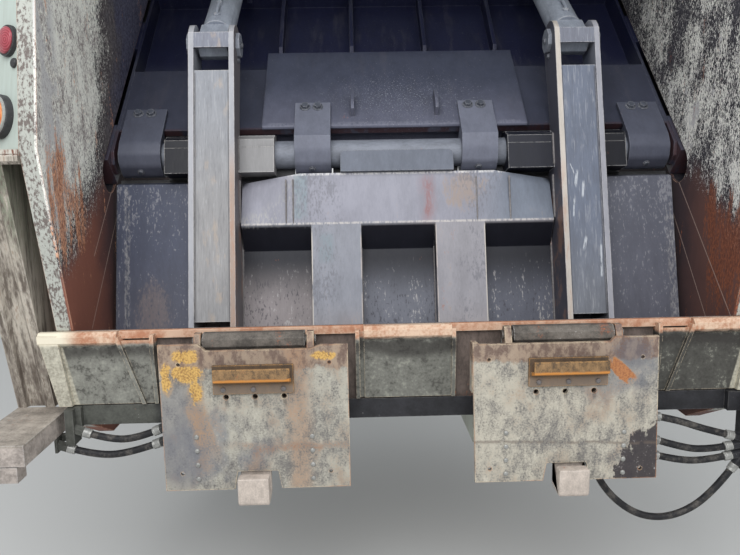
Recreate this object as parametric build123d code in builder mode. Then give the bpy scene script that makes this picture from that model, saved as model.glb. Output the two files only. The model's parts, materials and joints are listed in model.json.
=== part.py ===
"""Tailgate of a rear-loading refuse truck: hopper, slide-and-sweep packer and two cart tippers.

Millimetres. +Y points to the truck's front, +X to the viewer's right when looking forward from
behind the truck, +Z up. The origin is the middle of the hinge axis on which the tailgate lifts.
Heights above the road are turned into z by up(height).
"""
import os
from math import cos, pi, radians, sin, sqrt, tan

from build123d import *

os.makedirs("parts", exist_ok=True)

# Driving dimensions
HINGE_HEIGHT = 3100          # hinge axis above the road
INNER_HALF = 1015            # hopper's inner width is twice this
SKIN = 8                     # plate thickness of walls and floor
FRONT_Y = -40                # back face of the front frame
SHAFT_Y, SHAFT_HEIGHT = -1295, 1588
TROUGH_RADIUS = 890
TROUGH_RAMP_START, TROUGH_RAMP_SLOPE = 25, 25      # degrees
REAR_WALL_Y = -1755
SILL_HEIGHT, SILL_DROP = 1062, 231
SILL_ROLL_R = 22
LEDGE_HEIGHT = 1602          # lamp ledge on the rear corners
SLIDE_ANGLE = 45             # carriage track, degrees above level
LEAN = 13.5                  # blade at rest: its tip leans to the rear
SIDE_GAP = 15                # between the blade and each wall
BLADE_LENGTH = 858
SHAFT_R = 50
ARM_X, ARM_WIDTH = 636, 157
PIN_U, PIN_V, PIN_R = -380, 75, 30
SWEEP_ANGLE, SWEEP_LENGTH = 36, 700    # sweep cylinder at rest: slope, pin to pin
TIPPER_X, TIPPER_WIDTH, TIPPER_HEIGHT = 459, 552, 428
TIPPER_AXIS_Y, TIPPER_AXIS_HEIGHT = -1838, 1036
STEP_HEIGHT = 801

SIDES = ((-1, "left"), (1, "right"))


def up(height):
    """z of a height above the road."""
    return height - HINGE_HEIGHT


SHAFT_Z = up(SHAFT_HEIGHT)
SILL_Z = up(SILL_HEIGHT)
SILL_BOTTOM_Z = SILL_Z - SILL_DROP
STEP_Z = up(STEP_HEIGHT)


def on_slide(s, t):
    """(y, z) of a point s along the carriage's slide and t above it, from the shaft at rest."""
    a = radians(SLIDE_ANGLE)
    return SHAFT_Y + s * cos(a) - t * sin(a), SHAFT_Z + s * sin(a) + t * cos(a)


def on_blade(u, v):
    """(y, z) of a point u down the blade and v behind the shaft axis, at rest."""
    a = radians(LEAN)
    return SHAFT_Y - u * sin(a) - v * cos(a), SHAFT_Z - u * cos(a) + v * sin(a)


def in_place(points, place):
    """Points of a local outline, each put in the side view by place."""
    return [place(*point) for point in points]


def outline(x, points):
    """Flat face at x, from (y, z) points of the side view."""
    with BuildSketch(Plane.YZ.offset(x)) as face:
        with BuildLine():
            Polyline(*points, close=True)
        make_face()
    return face.sketch


def disc(x, centre, radius):
    """Round face at x round a (y, z) centre."""
    with BuildSketch(Plane.YZ.offset(x)) as face:
        with Locations(centre):
            Circle(radius)
    return face.sketch


def slab(x_low, x_high, points, mode=Mode.ADD):
    """Prism of a side-view outline between two x."""
    extrude(outline(x_low, points), amount=x_high - x_low, mode=mode)


def eye(x_low, x_high, centre, radius, sides=8):
    """Faceted bar along X between two x."""
    with BuildSketch(Plane.YZ.offset(x_low)) as face:
        with Locations(centre):
            RegularPolygon(radius, sides, major_radius=False, rotation=180 / sides)
    extrude(face.sketch, amount=x_high - x_low)


def rod(x_low, x_high, centre, radius, mode=Mode.ADD):
    """Round bar along X between two x."""
    extrude(disc(x_low, centre, radius), amount=x_high - x_low, mode=mode)


def block(low, high, mode=Mode.ADD):
    """Box between two corners."""
    size = [b - a for a, b in zip(low, high)]
    middle = [(a + b) / 2 for a, b in zip(low, high)]
    with Locations(tuple(middle)):
        Box(*size, mode=mode)


def span(side, inner, outer):
    """Two x in rising order for a piece between two distances from the centre plane."""
    return (inner, outer) if side > 0 else (-outer, -inner)


def bar(start, end, radius, mode=Mode.ADD):
    """Round bar between two points."""
    line = Vector(*end) - Vector(*start)
    with BuildSketch(Plane(origin=start, z_dir=line)) as section:
        Circle(radius)
    extrude(section.sketch, amount=line.length, mode=mode)


def nut(start, end, radius):
    """Six-sided bar between two points."""
    line = Vector(*end) - Vector(*start)
    with BuildSketch(Plane(origin=start, z_dir=line)) as section:
        RegularPolygon(radius, 6)
    extrude(section.sketch, amount=line.length)


def save(name, part):
    """Labels a finished piece and writes its STEP file."""
    part.label = name
    export_step(part, f"parts/{name}.step")


# Side walls: an inner plate with a track slot, a frame round its edge and ribs outside

LEDGE_Z = up(LEDGE_HEIGHT)
SILL_FACE_Y = REAR_WALL_Y - SKIN
REAR_TOP = (-1842, up(2000))           # where the wall's rear edge meets the roof's slope
REAR_LEDGE_Y, REAR_SILL_Y = -1910, -1772
WALL_EDGE = [
    (FRONT_Y, -60), (-640, -60), (-1650, -420), REAR_TOP, (REAR_LEDGE_Y, LEDGE_Z),
    (REAR_SILL_Y, SILL_Z), (SILL_FACE_Y + 1, SILL_Z), (SILL_FACE_Y + 1, SILL_BOTTOM_Z), (-1690, up(735)),
    (-1500, up(640)), (-1080, up(640)), (-900, up(745)), (FRONT_Y, up(1120)),
]
WALL_FRAME, FRAME_DEPTH = 55, 44
SLOT_START, SLOT_END, SLOT_HALF = -145, 1530, 65
RAIL, RAIL_DEPTH = 30, 52
COVER_HALF, COVER_SKIN, COVER_DEPTH = 112, 6, 166   # closed cover over the track and its cylinder
COVER_START, COVER_END = -245, 1640


def stadium(x, start, end, half):
    """Round-ended face at x along the slide, between two s."""
    low, high = on_slide(start, 0), on_slide(end, 0)
    middle = ((low[0] + high[0]) / 2, (low[1] + high[1]) / 2)
    with BuildSketch(Plane.YZ.offset(x)) as face:
        with Locations(middle):
            SlotOverall(end - start, 2 * half, rotation=SLIDE_ANGLE)
    return face.sketch


def slot_outline(x, grow):
    """The track slot's face at x, grown outward."""
    return stadium(x, SLOT_START - grow, SLOT_END + grow, SLOT_HALF + grow)


RIBS = [  # outside ribs: (y, z) of both ends
    (REAR_TOP, (-1130, up(2000))), ((-1690, up(1300)), (-1180, up(1300))),
    ((-640, -60), (-640, -820)), ((-700, up(1700)), (-700, up(860))),
]
for side, name in SIDES:
    inner, outer = span(side, INNER_HALF, INNER_HALF + SKIN)
    edge_low, edge_high = span(side, INNER_HALF + SKIN, INNER_HALF + SKIN + FRAME_DEPTH)
    with BuildPart() as wall:
        slab(inner, outer, WALL_EDGE)
        with BuildSketch(Plane.YZ.offset(edge_low)) as frame_ring:
            with BuildLine():
                Polyline(*WALL_EDGE, close=True)
            make_face()
            offset(amount=-WALL_FRAME, mode=Mode.SUBTRACT)
        extrude(amount=FRAME_DEPTH)
        for (y1, z1), (y2, z2) in RIBS:
            level = abs(z1 - z2) < 1
            low = (min(y1, y2) + (30 if level else -25), min(z1, z2) - (25 if level else -30))
            high = (max(y1, y2) + (0 if level else 25), max(z1, z2) + (25 if level else -30))
            block((edge_low, *low), (edge_high, *high))
        extrude(slot_outline(inner, 0), amount=SKIN, mode=Mode.SUBTRACT)
        extrude(stadium(edge_low, COVER_START, COVER_END, COVER_HALF), amount=FRAME_DEPTH, mode=Mode.SUBTRACT)
    save(f"side_wall_{name}", wall.part)

    with BuildPart() as track:
        rail_low, rail_high = span(side, INNER_HALF + SKIN, INNER_HALF + SKIN + RAIL_DEPTH)
        extrude(slot_outline(rail_low, RAIL), amount=RAIL_DEPTH)
        extrude(slot_outline(rail_low, 0), amount=RAIL_DEPTH, mode=Mode.SUBTRACT)
    save(f"slide_track_{name}", track.part)

    with BuildPart() as cover:
        cover_low, cover_high = span(side, INNER_HALF + SKIN, INNER_HALF + SKIN + COVER_DEPTH)
        extrude(stadium(cover_low, COVER_START, COVER_END, COVER_HALF), amount=COVER_DEPTH)
        hollow_low = span(side, INNER_HALF, INNER_HALF + SKIN + COVER_DEPTH - COVER_SKIN)[0]
        hollow = stadium(hollow_low, COVER_START + COVER_SKIN, COVER_END - COVER_SKIN,
                         COVER_HALF - COVER_SKIN)
        extrude(hollow, amount=SKIN + COVER_DEPTH - COVER_SKIN, mode=Mode.SUBTRACT)
    save(f"track_cover_{name}", cover.part)

# Hopper floor: rear wall, trough round the shaft and ramp to the body floor


def trough_outline(radius, rear_y):
    """Points and arc of the floor's surface at one radius, from the front edge to the rear wall's top."""
    ramp = radians(TROUGH_RAMP_START)
    start = (SHAFT_Y + radius * sin(ramp), SHAFT_Z - radius * cos(ramp))
    front = (FRONT_Y, start[1] + (FRONT_Y - start[0]) * tan(radians(TROUGH_RAMP_SLOPE)))
    rear = (rear_y, SHAFT_Z - sqrt(radius ** 2 - (SHAFT_Y - rear_y) ** 2))
    bottom = (SHAFT_Y, SHAFT_Z - radius)
    return front, start, bottom, rear, (rear_y, SILL_Z - 2)


inside = trough_outline(TROUGH_RADIUS, REAR_WALL_Y)
outside = trough_outline(TROUGH_RADIUS + SKIN, REAR_WALL_Y - SKIN)
with BuildPart() as floor:
    with BuildSketch(Plane.YZ.offset(-INNER_HALF)):
        with BuildLine():
            Line(inside[0], inside[1])
            ThreePointArc(inside[1], inside[2], inside[3])
            Line(inside[3], inside[4])
            Line(inside[4], outside[4])
            Line(outside[4], outside[3])
            ThreePointArc(outside[3], outside[2], outside[1])
            Line(outside[1], outside[0])
            Line(outside[0], inside[0])
        make_face()
    extrude(amount=2 * INNER_HALF)
save("hopper_floor", floor.part)

FLOOR_FRONT_Z = inside[0][1]
with BuildPart() as floor_ribs:
    for x in (-760, -255, 255, 760):
        with BuildSketch(Plane.YZ.offset(x - 20)):
            with BuildLine():
                Line(outside[0], outside[1])
                ThreePointArc(outside[1], outside[2], on_floor := (SHAFT_Y - 300, SHAFT_Z - sqrt(
                    (TROUGH_RADIUS + SKIN) ** 2 - 300 ** 2)))
                Line(on_floor, (on_floor[0], up(600)))
                Line((on_floor[0], up(600)), (outside[1][0] - 60, up(600)))
                Line((outside[1][0] - 60, up(600)), (FRONT_Y, outside[0][1] - 90))
                Line((FRONT_Y, outside[0][1] - 90), outside[0])
            make_face()
        extrude(amount=40)
save("floor_ribs", floor_ribs.part)

# Load sill: three pressed sections with a rolled top edge, tipper bays between them, cross tube

ROLL_Y = SILL_FACE_Y - SILL_ROLL_R
ROLL_REAR_Y = ROLL_Y - SILL_ROLL_R
SILL_END_X = INNER_HALF + 98
BAY_INNER_X, BAY_OUTER_X = 134, 768    # each tipper hangs in a bay between these
SLANT_TOP, SLANT_LOW, PLATE = 878, 812, 12
END_WIDTH, END_SHIFT = 58, 36
with BuildPart() as sill:
    for low, high in ((-SILL_END_X, -SLANT_TOP), (-BAY_INNER_X, BAY_INNER_X), (SLANT_TOP, SILL_END_X)):
        eye(low, high, (ROLL_Y, SILL_Z - SILL_ROLL_R), SILL_ROLL_R)
    for low, high in ((-SILL_END_X + END_SHIFT, -BAY_OUTER_X), (-BAY_INNER_X, BAY_INNER_X),
                      (BAY_OUTER_X, SILL_END_X - END_SHIFT)):
        slab(low, high, [(ROLL_Y - 6, SILL_Z - 30), (ROLL_Y + 4, SILL_Z - 30),
                         (SILL_FACE_Y - 4, SILL_BOTTOM_Z), (SILL_FACE_Y - 14, SILL_BOTTOM_Z)])
    gusset = [(SILL_FACE_Y, SILL_Z - 10), (ROLL_REAR_Y + 4, SILL_Z - 12), (ROLL_REAR_Y, SILL_Z - 60),
              (SILL_FACE_Y - 22, SILL_BOTTOM_Z), (SILL_FACE_Y, SILL_BOTTOM_Z)]
    for x in (-BAY_OUTER_X - PLATE, -BAY_INNER_X - 26, BAY_INNER_X, BAY_OUTER_X):
        slab(x, x + PLATE, gusset)
    slab(-BAY_INNER_X - 26, -BAY_INNER_X, [(SILL_FACE_Y, SILL_Z - 20), (ROLL_Y, SILL_Z - 20),
                                          (SILL_FACE_Y - 8, SILL_BOTTOM_Z), (SILL_FACE_Y, SILL_BOTTOM_Z)])
    for side, _ in SIDES:
        slant_top, slant_low = side * SLANT_TOP, side * SLANT_LOW
        with BuildSketch(Plane.XY.offset(SILL_Z - 16)) as upper:
            with Locations((slant_top, (SILL_FACE_Y + ROLL_REAR_Y) / 2)):
                Rectangle(PLATE, SILL_FACE_Y - ROLL_REAR_Y)
        with BuildSketch(Plane.XY.offset(SILL_BOTTOM_Z)) as lower:
            with Locations((slant_low, SILL_FACE_Y - 12)):
                Rectangle(PLATE, 24)
        loft([upper.sketch, lower.sketch], ruled=True)
        end_top = side * (SILL_END_X - END_WIDTH / 2)
        with BuildSketch(Plane.XY.offset(SILL_Z - 8)) as upper:
            with Locations((end_top, (SILL_FACE_Y + ROLL_REAR_Y) / 2)):
                Rectangle(END_WIDTH, SILL_FACE_Y - ROLL_REAR_Y)
        with BuildSketch(Plane.XY.offset(SILL_BOTTOM_Z)) as lower:
            with Locations((end_top - side * END_SHIFT, SILL_FACE_Y - 16)):
                Rectangle(END_WIDTH - 18, 32)
        loft([upper.sketch, lower.sketch], ruled=True)
    for low, high in ((-SLANT_TOP, -BAY_INNER_X), (BAY_INNER_X, SLANT_TOP)):
        block((low, SILL_FACE_Y - 14, SILL_Z - 26), (high, SILL_FACE_Y, SILL_Z - 2))
save("load_sill", sill.part)

TUBE_HALF, TUBE_TOP, TUBE_LOW = INNER_HALF - 5, SILL_BOTTOM_Z - 4, SILL_BOTTOM_Z - 66
TUBE_REAR, TUBE_FRONT = SILL_FACE_Y - 12, SILL_FACE_Y + 40
BEHIND_Y = SILL_FACE_Y - 1.5           # front of what hangs behind the rear wall
HANGER_X, HANGER_LOW = INNER_HALF + 31, up(575)    # plate at the right end that the hoses pass to
HOLDER_X, HOLDER_Y, HOLDER_THICK = 725, -1822, 10  # plates hidden behind the tippers' outer edges
LUG_X, LUG_TOP = INNER_HALF + 59, STEP_Z - 64      # small plate under the left step
HOSE_Y, HOSE_R, FITTING_R, FITTING_LENGTH = -1801, 11, 16, 32
HOSES = {  # hydraulic hoses under the sill: (x, height above the road) of the ends and the bends between
    "left_upper": [(-998, 752), (-930, 728), (-842, 724), (-762, 756)],
    "left_lower": [(-1050, 703), (-964, 675), (-861, 680), (-764, 713)],
    "right_upper": [(760, 757), (836, 742), (930, 707), (1020, 684)],
    "right_middle": [(760, 683), (838, 656), (930, 638), (1018, 653)],
    "right_lower": [(760, 632), (836, 610), (930, 603), (1018, 621)],
    "right_loop": [(566, 690), (578, 588), (640, 490), (738, 420), (850, 418), (960, 486), (1032, 590)],
}
with BuildPart() as cross_tube:
    slab(-TUBE_HALF, TUBE_HALF, [(TUBE_REAR, TUBE_TOP), (TUBE_REAR, TUBE_LOW), (TUBE_FRONT, TUBE_LOW),
                                 (TUBE_FRONT, TUBE_TOP)])
    rod(-TUBE_HALF - 1, TUBE_HALF + 1, (SHAFT_Y, SHAFT_Z), TROUGH_RADIUS + SKIN + 0.5, Mode.SUBTRACT)
    block((-TUBE_HALF - 1, SILL_FACE_Y - 0.5, outside[3][1]), (TUBE_HALF + 1, TUBE_FRONT + 20, SILL_Z),
          Mode.SUBTRACT)
    block((TUBE_HALF - 10, TUBE_REAR - 22, TUBE_LOW), (HANGER_X, BEHIND_Y, TUBE_TOP))
    block((HANGER_X, HOSE_Y - 26, HANGER_LOW), (HANGER_X + HOLDER_THICK, BEHIND_Y, TUBE_TOP))
    block((HOLDER_X, HOLDER_Y, up(600)), (HOLDER_X + HOLDER_THICK, TUBE_REAR, TUBE_TOP))
    block((-HOLDER_X - HOLDER_THICK, HOLDER_Y, up(700)), (-HOLDER_X, TUBE_REAR, TUBE_TOP))
    block((-TUBE_HALF - 36, HOSE_Y - 18, up(716)), (-TUBE_HALF - 10, BEHIND_Y, TUBE_TOP))
    block((-TUBE_HALF - 11, TUBE_REAR - 22, TUBE_LOW), (-TUBE_HALF + 6, BEHIND_Y, TUBE_TOP))
    block((-LUG_X - 8, HOSE_Y + 20, up(716)), (-TUBE_HALF - 30, BEHIND_Y, LUG_TOP))
    block((-LUG_X - 8, HOSE_Y - 18, up(692)), (-LUG_X, BEHIND_Y, LUG_TOP))
    for name, points in HOSES.items():
        for end, (x, height), (x_next, height_next) in ((0, *points[:2]), (1, *points[:-3:-1])):
            if (name, end) != ("right_loop", 0):
                hose_end = Vector(x, HOSE_Y, up(height))
                outward = (hose_end - Vector(x_next, HOSE_Y, up(height_next))).normalized()
                nut(hose_end, hose_end + outward * FITTING_LENGTH, FITTING_R)
save("cross_tube", cross_tube.part)

# Roof over the hopper with cross ribs and a rear lip tube

ROOF_LINE = WALL_EDGE[:3]
with BuildPart() as roof:
    slope = (ROOF_LINE[2][1] - ROOF_LINE[1][1]) / (ROOF_LINE[2][0] - ROOF_LINE[1][0])
    eaves = (ROOF_LINE[2][0] - 30, ROOF_LINE[2][1] - 30 * slope)
    line = [*ROOF_LINE[:2], eaves]
    slab(-INNER_HALF - 48, INNER_HALF + 48, [*line, *[(y, z + 6) for y, z in reversed(line)]])
    for y in (-200, -560):
        block((-INNER_HALF, y - 30, -54), (INNER_HALF, y + 30, -14))
    for y in (-900, -1250):
        z = ROOF_LINE[1][1] + (y - ROOF_LINE[1][0]) * slope + 6
        slab(-INNER_HALF, INNER_HALF, [(y - 30, z - 30 * slope), (y + 30, z + 30 * slope),
                                       (y + 30, z + 30 * slope + 40), (y - 30, z - 30 * slope + 40)])
    eye(-INNER_HALF - 48, INNER_HALF + 48, (eaves[0] - 16, eaves[1] + 3), 26)
save("roof", roof.part)

# Front frame: the ring that closes on the body, with hinge ears on top and lock lugs below

FRAME_HALF = INNER_HALF + 85
EAR_X, EAR_THICK, HINGE_BORE_R = 700, 25, 30
LOCK_Z, LOCK_R = up(1250), 21
LIFT_Z, LIFT_R = up(2150), 26
with BuildPart() as front_frame:
    block((-FRAME_HALF, FRONT_Y, FLOOR_FRONT_Z - 90), (FRAME_HALF, 0, -50))
    block((-INNER_HALF, FRONT_Y - 1, FLOOR_FRONT_Z), (INNER_HALF, 1, -150), Mode.SUBTRACT)
    for side, _ in SIDES:
        for x in (side * (EAR_X - 50), side * (EAR_X + 50)):
            low, high = x - EAR_THICK / 2, x + EAR_THICK / 2
            slab(low, high, [(-62, 26), (-26, 62), (26, 62), (62, 26), (62, -26), (0, -140), (FRONT_Y, -140),
                             (FRONT_Y, -53), (-80, -53)])
            rod(low, high, (0, 0), HINGE_BORE_R, Mode.SUBTRACT)
        low, high = span(side, FRAME_HALF, FRAME_HALF + 30)
        for z, radius in ((LOCK_Z, LOCK_R), (LIFT_Z, LIFT_R)):
            slab(low, high, [(0, z - 90), (0, z + 90), (FRONT_Y, z + 90), (FRONT_Y - 60, z + 40),
                             (FRONT_Y - 60, z - 40), (FRONT_Y, z - 90)])
            rod(low, high, (FRONT_Y - 15, z), radius, Mode.SUBTRACT)
save("front_frame", front_frame.part)

# Rear corners: wall flange, lamp pillar above the ledge, folded post below it, riding step

FLANGE_X, PILLAR_X, POST_X = INNER_HALF + SKIN + FRAME_DEPTH, INNER_HALF + 190, INNER_HALF + 223
PILLAR_DEPTH, POST_DEPTH, LEDGE_THICK, LIP_R = 260, 200, 12, 15


def wall_rear_y(z):
    """y of the side wall's rear edge at a height z."""
    rear = WALL_EDGE[2:7]
    for (y1, z1), (y2, z2) in zip(rear, rear[1:]):
        if z2 <= z <= z1:
            return y1 + (y2 - y1) * (z - z1) / (z2 - z1)
    return rear[-1][0]


PILLAR_TOP = up(2500)
CHAMFER = 37                          # lamp face turns outward by this
POST_FOLDS = [  # distance inward from the post's outer face, and depth behind its rear line: folds
    (116, 0), (88, 0), (78, 14), (34, 14), (26, 0), (0, 0),
]
STEP_REAR_Y, STEP_FRONT_Y, STEP_INNER_X, STEP_DEPTH, STEP_SKIN = -2025, -1700, INNER_HALF + 59, 62, 8
for side, name in SIDES:
    with BuildPart() as pillar:
        drop = PILLAR_TOP - LEDGE_Z
        lean_y = wall_rear_y(up(2000)) - wall_rear_y(LEDGE_Z)
        direction = Vector(0, lean_y, up(2000) - LEDGE_Z).normalized()
        y0 = wall_rear_y(LEDGE_Z) + 22
        back = (PILLAR_X - FLANGE_X) * tan(radians(CHAMFER))
        with BuildSketch(Plane.XY.offset(LEDGE_Z)):
            with BuildLine():
                Polyline((side * FLANGE_X, y0), (side * PILLAR_X, y0 + back),
                         (side * PILLAR_X, y0 + PILLAR_DEPTH), (side * FLANGE_X, y0 + PILLAR_DEPTH),
                         close=True)
            make_face()
        extrude(amount=drop / direction.Z, dir=direction)
    save(f"lamp_pillar_{name}", pillar.part)

    with BuildPart() as post:
        y_top, y_low = wall_rear_y(LEDGE_Z) + 6, wall_rear_y(SILL_Z) + 6
        fall = Vector(0, y_low - y_top, SILL_Z - LEDGE_Z).normalized()
        with BuildSketch(Plane.XY.offset(LEDGE_Z - LEDGE_THICK)):
            with BuildLine():
                Polyline(*[(side * (POST_X - x), y_top + y) for x, y in POST_FOLDS],
                         (side * POST_X, y_top + POST_DEPTH),
                         (side * (POST_X - POST_FOLDS[0][0]), y_top + POST_DEPTH), close=True)
            make_face()
        extrude(amount=(LEDGE_Z - LEDGE_THICK - STEP_Z) / -fall.Z, dir=fall)
        low, high = span(side, FLANGE_X, POST_X)
        ledge_y = wall_rear_y(LEDGE_Z)
        block((low, ledge_y - 6, LEDGE_Z - LEDGE_THICK), (high, ledge_y + POST_DEPTH + 6, LEDGE_Z))
        eye(low, high, (ledge_y + 6, LEDGE_Z - LEDGE_THICK - LIP_R + 2), LIP_R)
    save(f"corner_post_{name}", post.part)

    with BuildPart() as step:
        low, high = span(side, STEP_INNER_X, POST_X + 2)
        block((low, STEP_REAR_Y, STEP_Z - STEP_DEPTH), (high, STEP_FRONT_Y, STEP_Z))
        block((low + STEP_SKIN, STEP_REAR_Y + STEP_SKIN, STEP_Z - STEP_DEPTH - 1),
              (high - STEP_SKIN, STEP_FRONT_Y - STEP_SKIN, STEP_Z - STEP_SKIN), Mode.SUBTRACT)
        foot_low, foot_high = span(side, STEP_INNER_X + 24, STEP_INNER_X + 84)
        block((foot_low, STEP_REAR_Y + 1, STEP_Z - STEP_DEPTH - 48), (foot_high, STEP_REAR_Y + 55,
                                                                     STEP_Z - STEP_DEPTH))
    save(f"step_{name}", step.part)

LAMPS = [  # name, distance outward from the flange, height above the road, radius, depth
    ("red_lamp", 45, 1904, 44, 26), ("orange_lamp", 81, 1696, 62, 40),
]
for lamp_name, out, height, radius, depth in LAMPS:
    with BuildPart() as lamp:
        for side, _ in SIDES:
            x = FLANGE_X + out
            outward = Vector(side * cos(radians(CHAMFER)), sin(radians(CHAMFER)), 0)
            rise = Vector(0, wall_rear_y(up(2000)) - wall_rear_y(LEDGE_Z), up(2000) - LEDGE_Z)
            normal = outward.cross(rise) * side
            y = (wall_rear_y(LEDGE_Z) + 22 + (x - FLANGE_X) * tan(radians(CHAMFER))
                 + (up(height) - LEDGE_Z) * (wall_rear_y(up(2000)) - wall_rear_y(LEDGE_Z))
                 / (up(2000) - LEDGE_Z))
            place = Plane(origin=(side * x, y, up(height)), z_dir=normal)
            with BuildSketch(place.offset(1)):
                Circle(radius)
            extrude(amount=depth)
    save(lamp_name, lamp.part)

# Carriage: slides on the tracks and carries the blade's shaft

LOWER_TOP, UPPER_TOP = 495, 1040
RAISED_HALF, CARRIAGE_HALF, CHEEK_OUT = 480, INNER_HALF - 21, INNER_HALF - 9
CHEEK_R, SHROUD_R, SHROUD_SKIN = 58, 92, 8
SHROUD_FROM, SHROUD_TO = -8, 66        # degrees above level in front of the shaft
pin_y, pin_z = on_blade(PIN_U, PIN_V)
anchor_y = pin_y + SWEEP_LENGTH * cos(radians(SWEEP_ANGLE))
anchor_z = pin_z + SWEEP_LENGTH * sin(radians(SWEEP_ANGLE))
ANCHOR_EAR_R, ANCHOR_EAR_THICK, ANCHOR_GAP = 52, 20, 80
with BuildPart() as carriage:
    slab(-CARRIAGE_HALF, CARRIAGE_HALF, in_place([(76, 30), (418, 30), (418, 57), (76, 57)], on_slide))
    slab(-RAISED_HALF, RAISED_HALF,
         in_place([(78, 57), (68, 60), (64, 67), (68, 74), (78, 77), (LOWER_TOP, 77), (LOWER_TOP, 57)],
                  on_slide))
    slab(-RAISED_HALF, RAISED_HALF,
         in_place([(418, 30), (LOWER_TOP + 10, 30), (LOWER_TOP + 10, 57), (418, 57)], on_slide))
    slab(-CARRIAGE_HALF, CARRIAGE_HALF,
         in_place([(398, 30), (398, -50), (UPPER_TOP, -50), (UPPER_TOP, -23), (425, -23), (425, 30)],
                  on_slide))
    slab(-RAISED_HALF, RAISED_HALF,
         in_place([(LOWER_TOP + 10, 57), (LOWER_TOP + 10, 30), (490, -23), (550, -23)], on_slide))
    slab(-CARRIAGE_HALF, CARRIAGE_HALF,
         in_place([(960, -23), (UPPER_TOP, -23), (UPPER_TOP, 40), (960, 40)], on_slide))
    shroud_angles = [radians(a) for a in (SHROUD_FROM, (SHROUD_FROM + SHROUD_TO) / 2, SHROUD_TO)]
    with BuildSketch(Plane.YZ.offset(-CARRIAGE_HALF)):
        with BuildLine():
            near, far = [[(SHAFT_Y + r * cos(a), SHAFT_Z + r * sin(a)) for a in shroud_angles]
                         for r in (SHROUD_R, SHROUD_R + SHROUD_SKIN)]
            ThreePointArc(*near)
            Line(near[2], far[2])
            ThreePointArc(*far)
            Line(far[0], near[0])
        make_face()
    extrude(amount=2 * CARRIAGE_HALF)
    for x in (-440, -150, 150, 440):
        slab(x - 8, x + 8, in_place([(545, -23), (960, -23), (960, 40), (600, 30)], on_slide))
    for side, _ in SIDES:
        low, high = span(side, CARRIAGE_HALF, CHEEK_OUT)
        slab(low, high, in_place([(0, -CHEEK_R), (UPPER_TOP, -CHEEK_R), (UPPER_TOP, CHEEK_R), (0, CHEEK_R)],
                                 on_slide))
        eye(low, high, (SHAFT_Y, SHAFT_Z), CHEEK_R)
        for ear in (-1, 1):
            x = side * ARM_X + ear * (ANCHOR_GAP + ANCHOR_EAR_THICK) / 2
            half = ANCHOR_EAR_THICK / 2
            slab(x - half, x + half,
                 [(anchor_y - ANCHOR_EAR_R, anchor_z), on_slide(900, 40), on_slide(1035, 40),
                  (anchor_y + ANCHOR_EAR_R, anchor_z), (anchor_y + 36, anchor_z + 40),
                  (anchor_y, anchor_z + ANCHOR_EAR_R), (anchor_y - 36, anchor_z + 40)])
            low, high = sorted((x + ear * half, x + ear * (half + 16)))
            block((low, anchor_y - 30, anchor_z - 30), (high, anchor_y + 30, anchor_z + 30))
    for x in (-153, 153):
        slab(x - 6, x + 6, in_place([(112, 77), (220, 77), (214, 112), (190, 122), (140, 122), (118, 112)],
                                    on_slide))
save("carriage", carriage.part)

CAPS = [  # x of the middle, width, panel face that its strap lies on
    (-904, 146, 57), (-297, 128, 77), (297, 128, 77), (904, 146, 57),
]
CAP_R = 69
with BuildPart() as caps:
    for x, width, face in CAPS:
        low, high = x - width / 2, x + width / 2
        slab(low, high, in_place([(-CAP_R, 22), (-CAP_R, -28), (-48, -55), (-20, -CAP_R), (20, -CAP_R),
                                  (48, -52), (62, -30), (62, face), (175, face), (175, face + 16),
                                  (0, face + 16), (-40, 60)], on_slide))
        rod(low, high, (SHAFT_Y, SHAFT_Z), SHAFT_R + 0.6, Mode.SUBTRACT)
save("bearing_caps", caps.part)

SHOES = [(-70, 110), (560, 740)]      # s range of each slide shoe
SLIDE_ROD_X, SLIDE_ROD_R, SLIDE_BARREL_R = INNER_HALF + 112, 25, 45
BARREL_START, BARREL_END = 792, 1590
for side, name in SIDES:
    with BuildPart() as shoes:
        low, high = span(side, CHEEK_OUT, INNER_HALF + SKIN + RAIL_DEPTH - 6)
        for start, end in SHOES:
            slab(low, high, in_place([(start, -60), (end, -60), (end, 60), (start, 60)], on_slide))
    save(f"slide_shoes_{name}", shoes.part)

    with BuildPart() as slide_rod:
        low, high = span(side, INNER_HALF + SKIN + RAIL_DEPTH - 6, SLIDE_ROD_X + 34)
        eye(low, high, on_slide(20, 0), 28)
        x = side * SLIDE_ROD_X
        slab(x - 30, x + 30, in_place([(-24, -18), (-4, -40), (40, -40), (64, -22), (64, 22), (40, 40),
                                       (-4, 40), (-24, 18)], on_slide))
        bar((x, *on_slide(20, 0)), (x, *on_slide(850, 0)), SLIDE_ROD_R)
    save(f"slide_rod_{name}", slide_rod.part)

    with BuildPart() as barrel:
        x = side * SLIDE_ROD_X
        bar((x, *on_slide(BARREL_START, 0)), (x, *on_slide(BARREL_END, 0)), SLIDE_BARREL_R)
        bar((x, *on_slide(BARREL_START - 1, 0)), (x, *on_slide(BARREL_END - 10, 0)),
            SLIDE_ROD_R + 1, Mode.SUBTRACT)
        low, high = span(side, INNER_HALF + SKIN, SLIDE_ROD_X + 40)
        slab(low, high, in_place([(BARREL_END, -34), (BARREL_END + 32, -34), (BARREL_END + 32, 34),
                                  (BARREL_END, 34)], on_slide))
    save(f"slide_barrel_{name}", barrel.part)

# Blade: panel with beam, box ribs and wings, hung on the shaft

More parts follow.
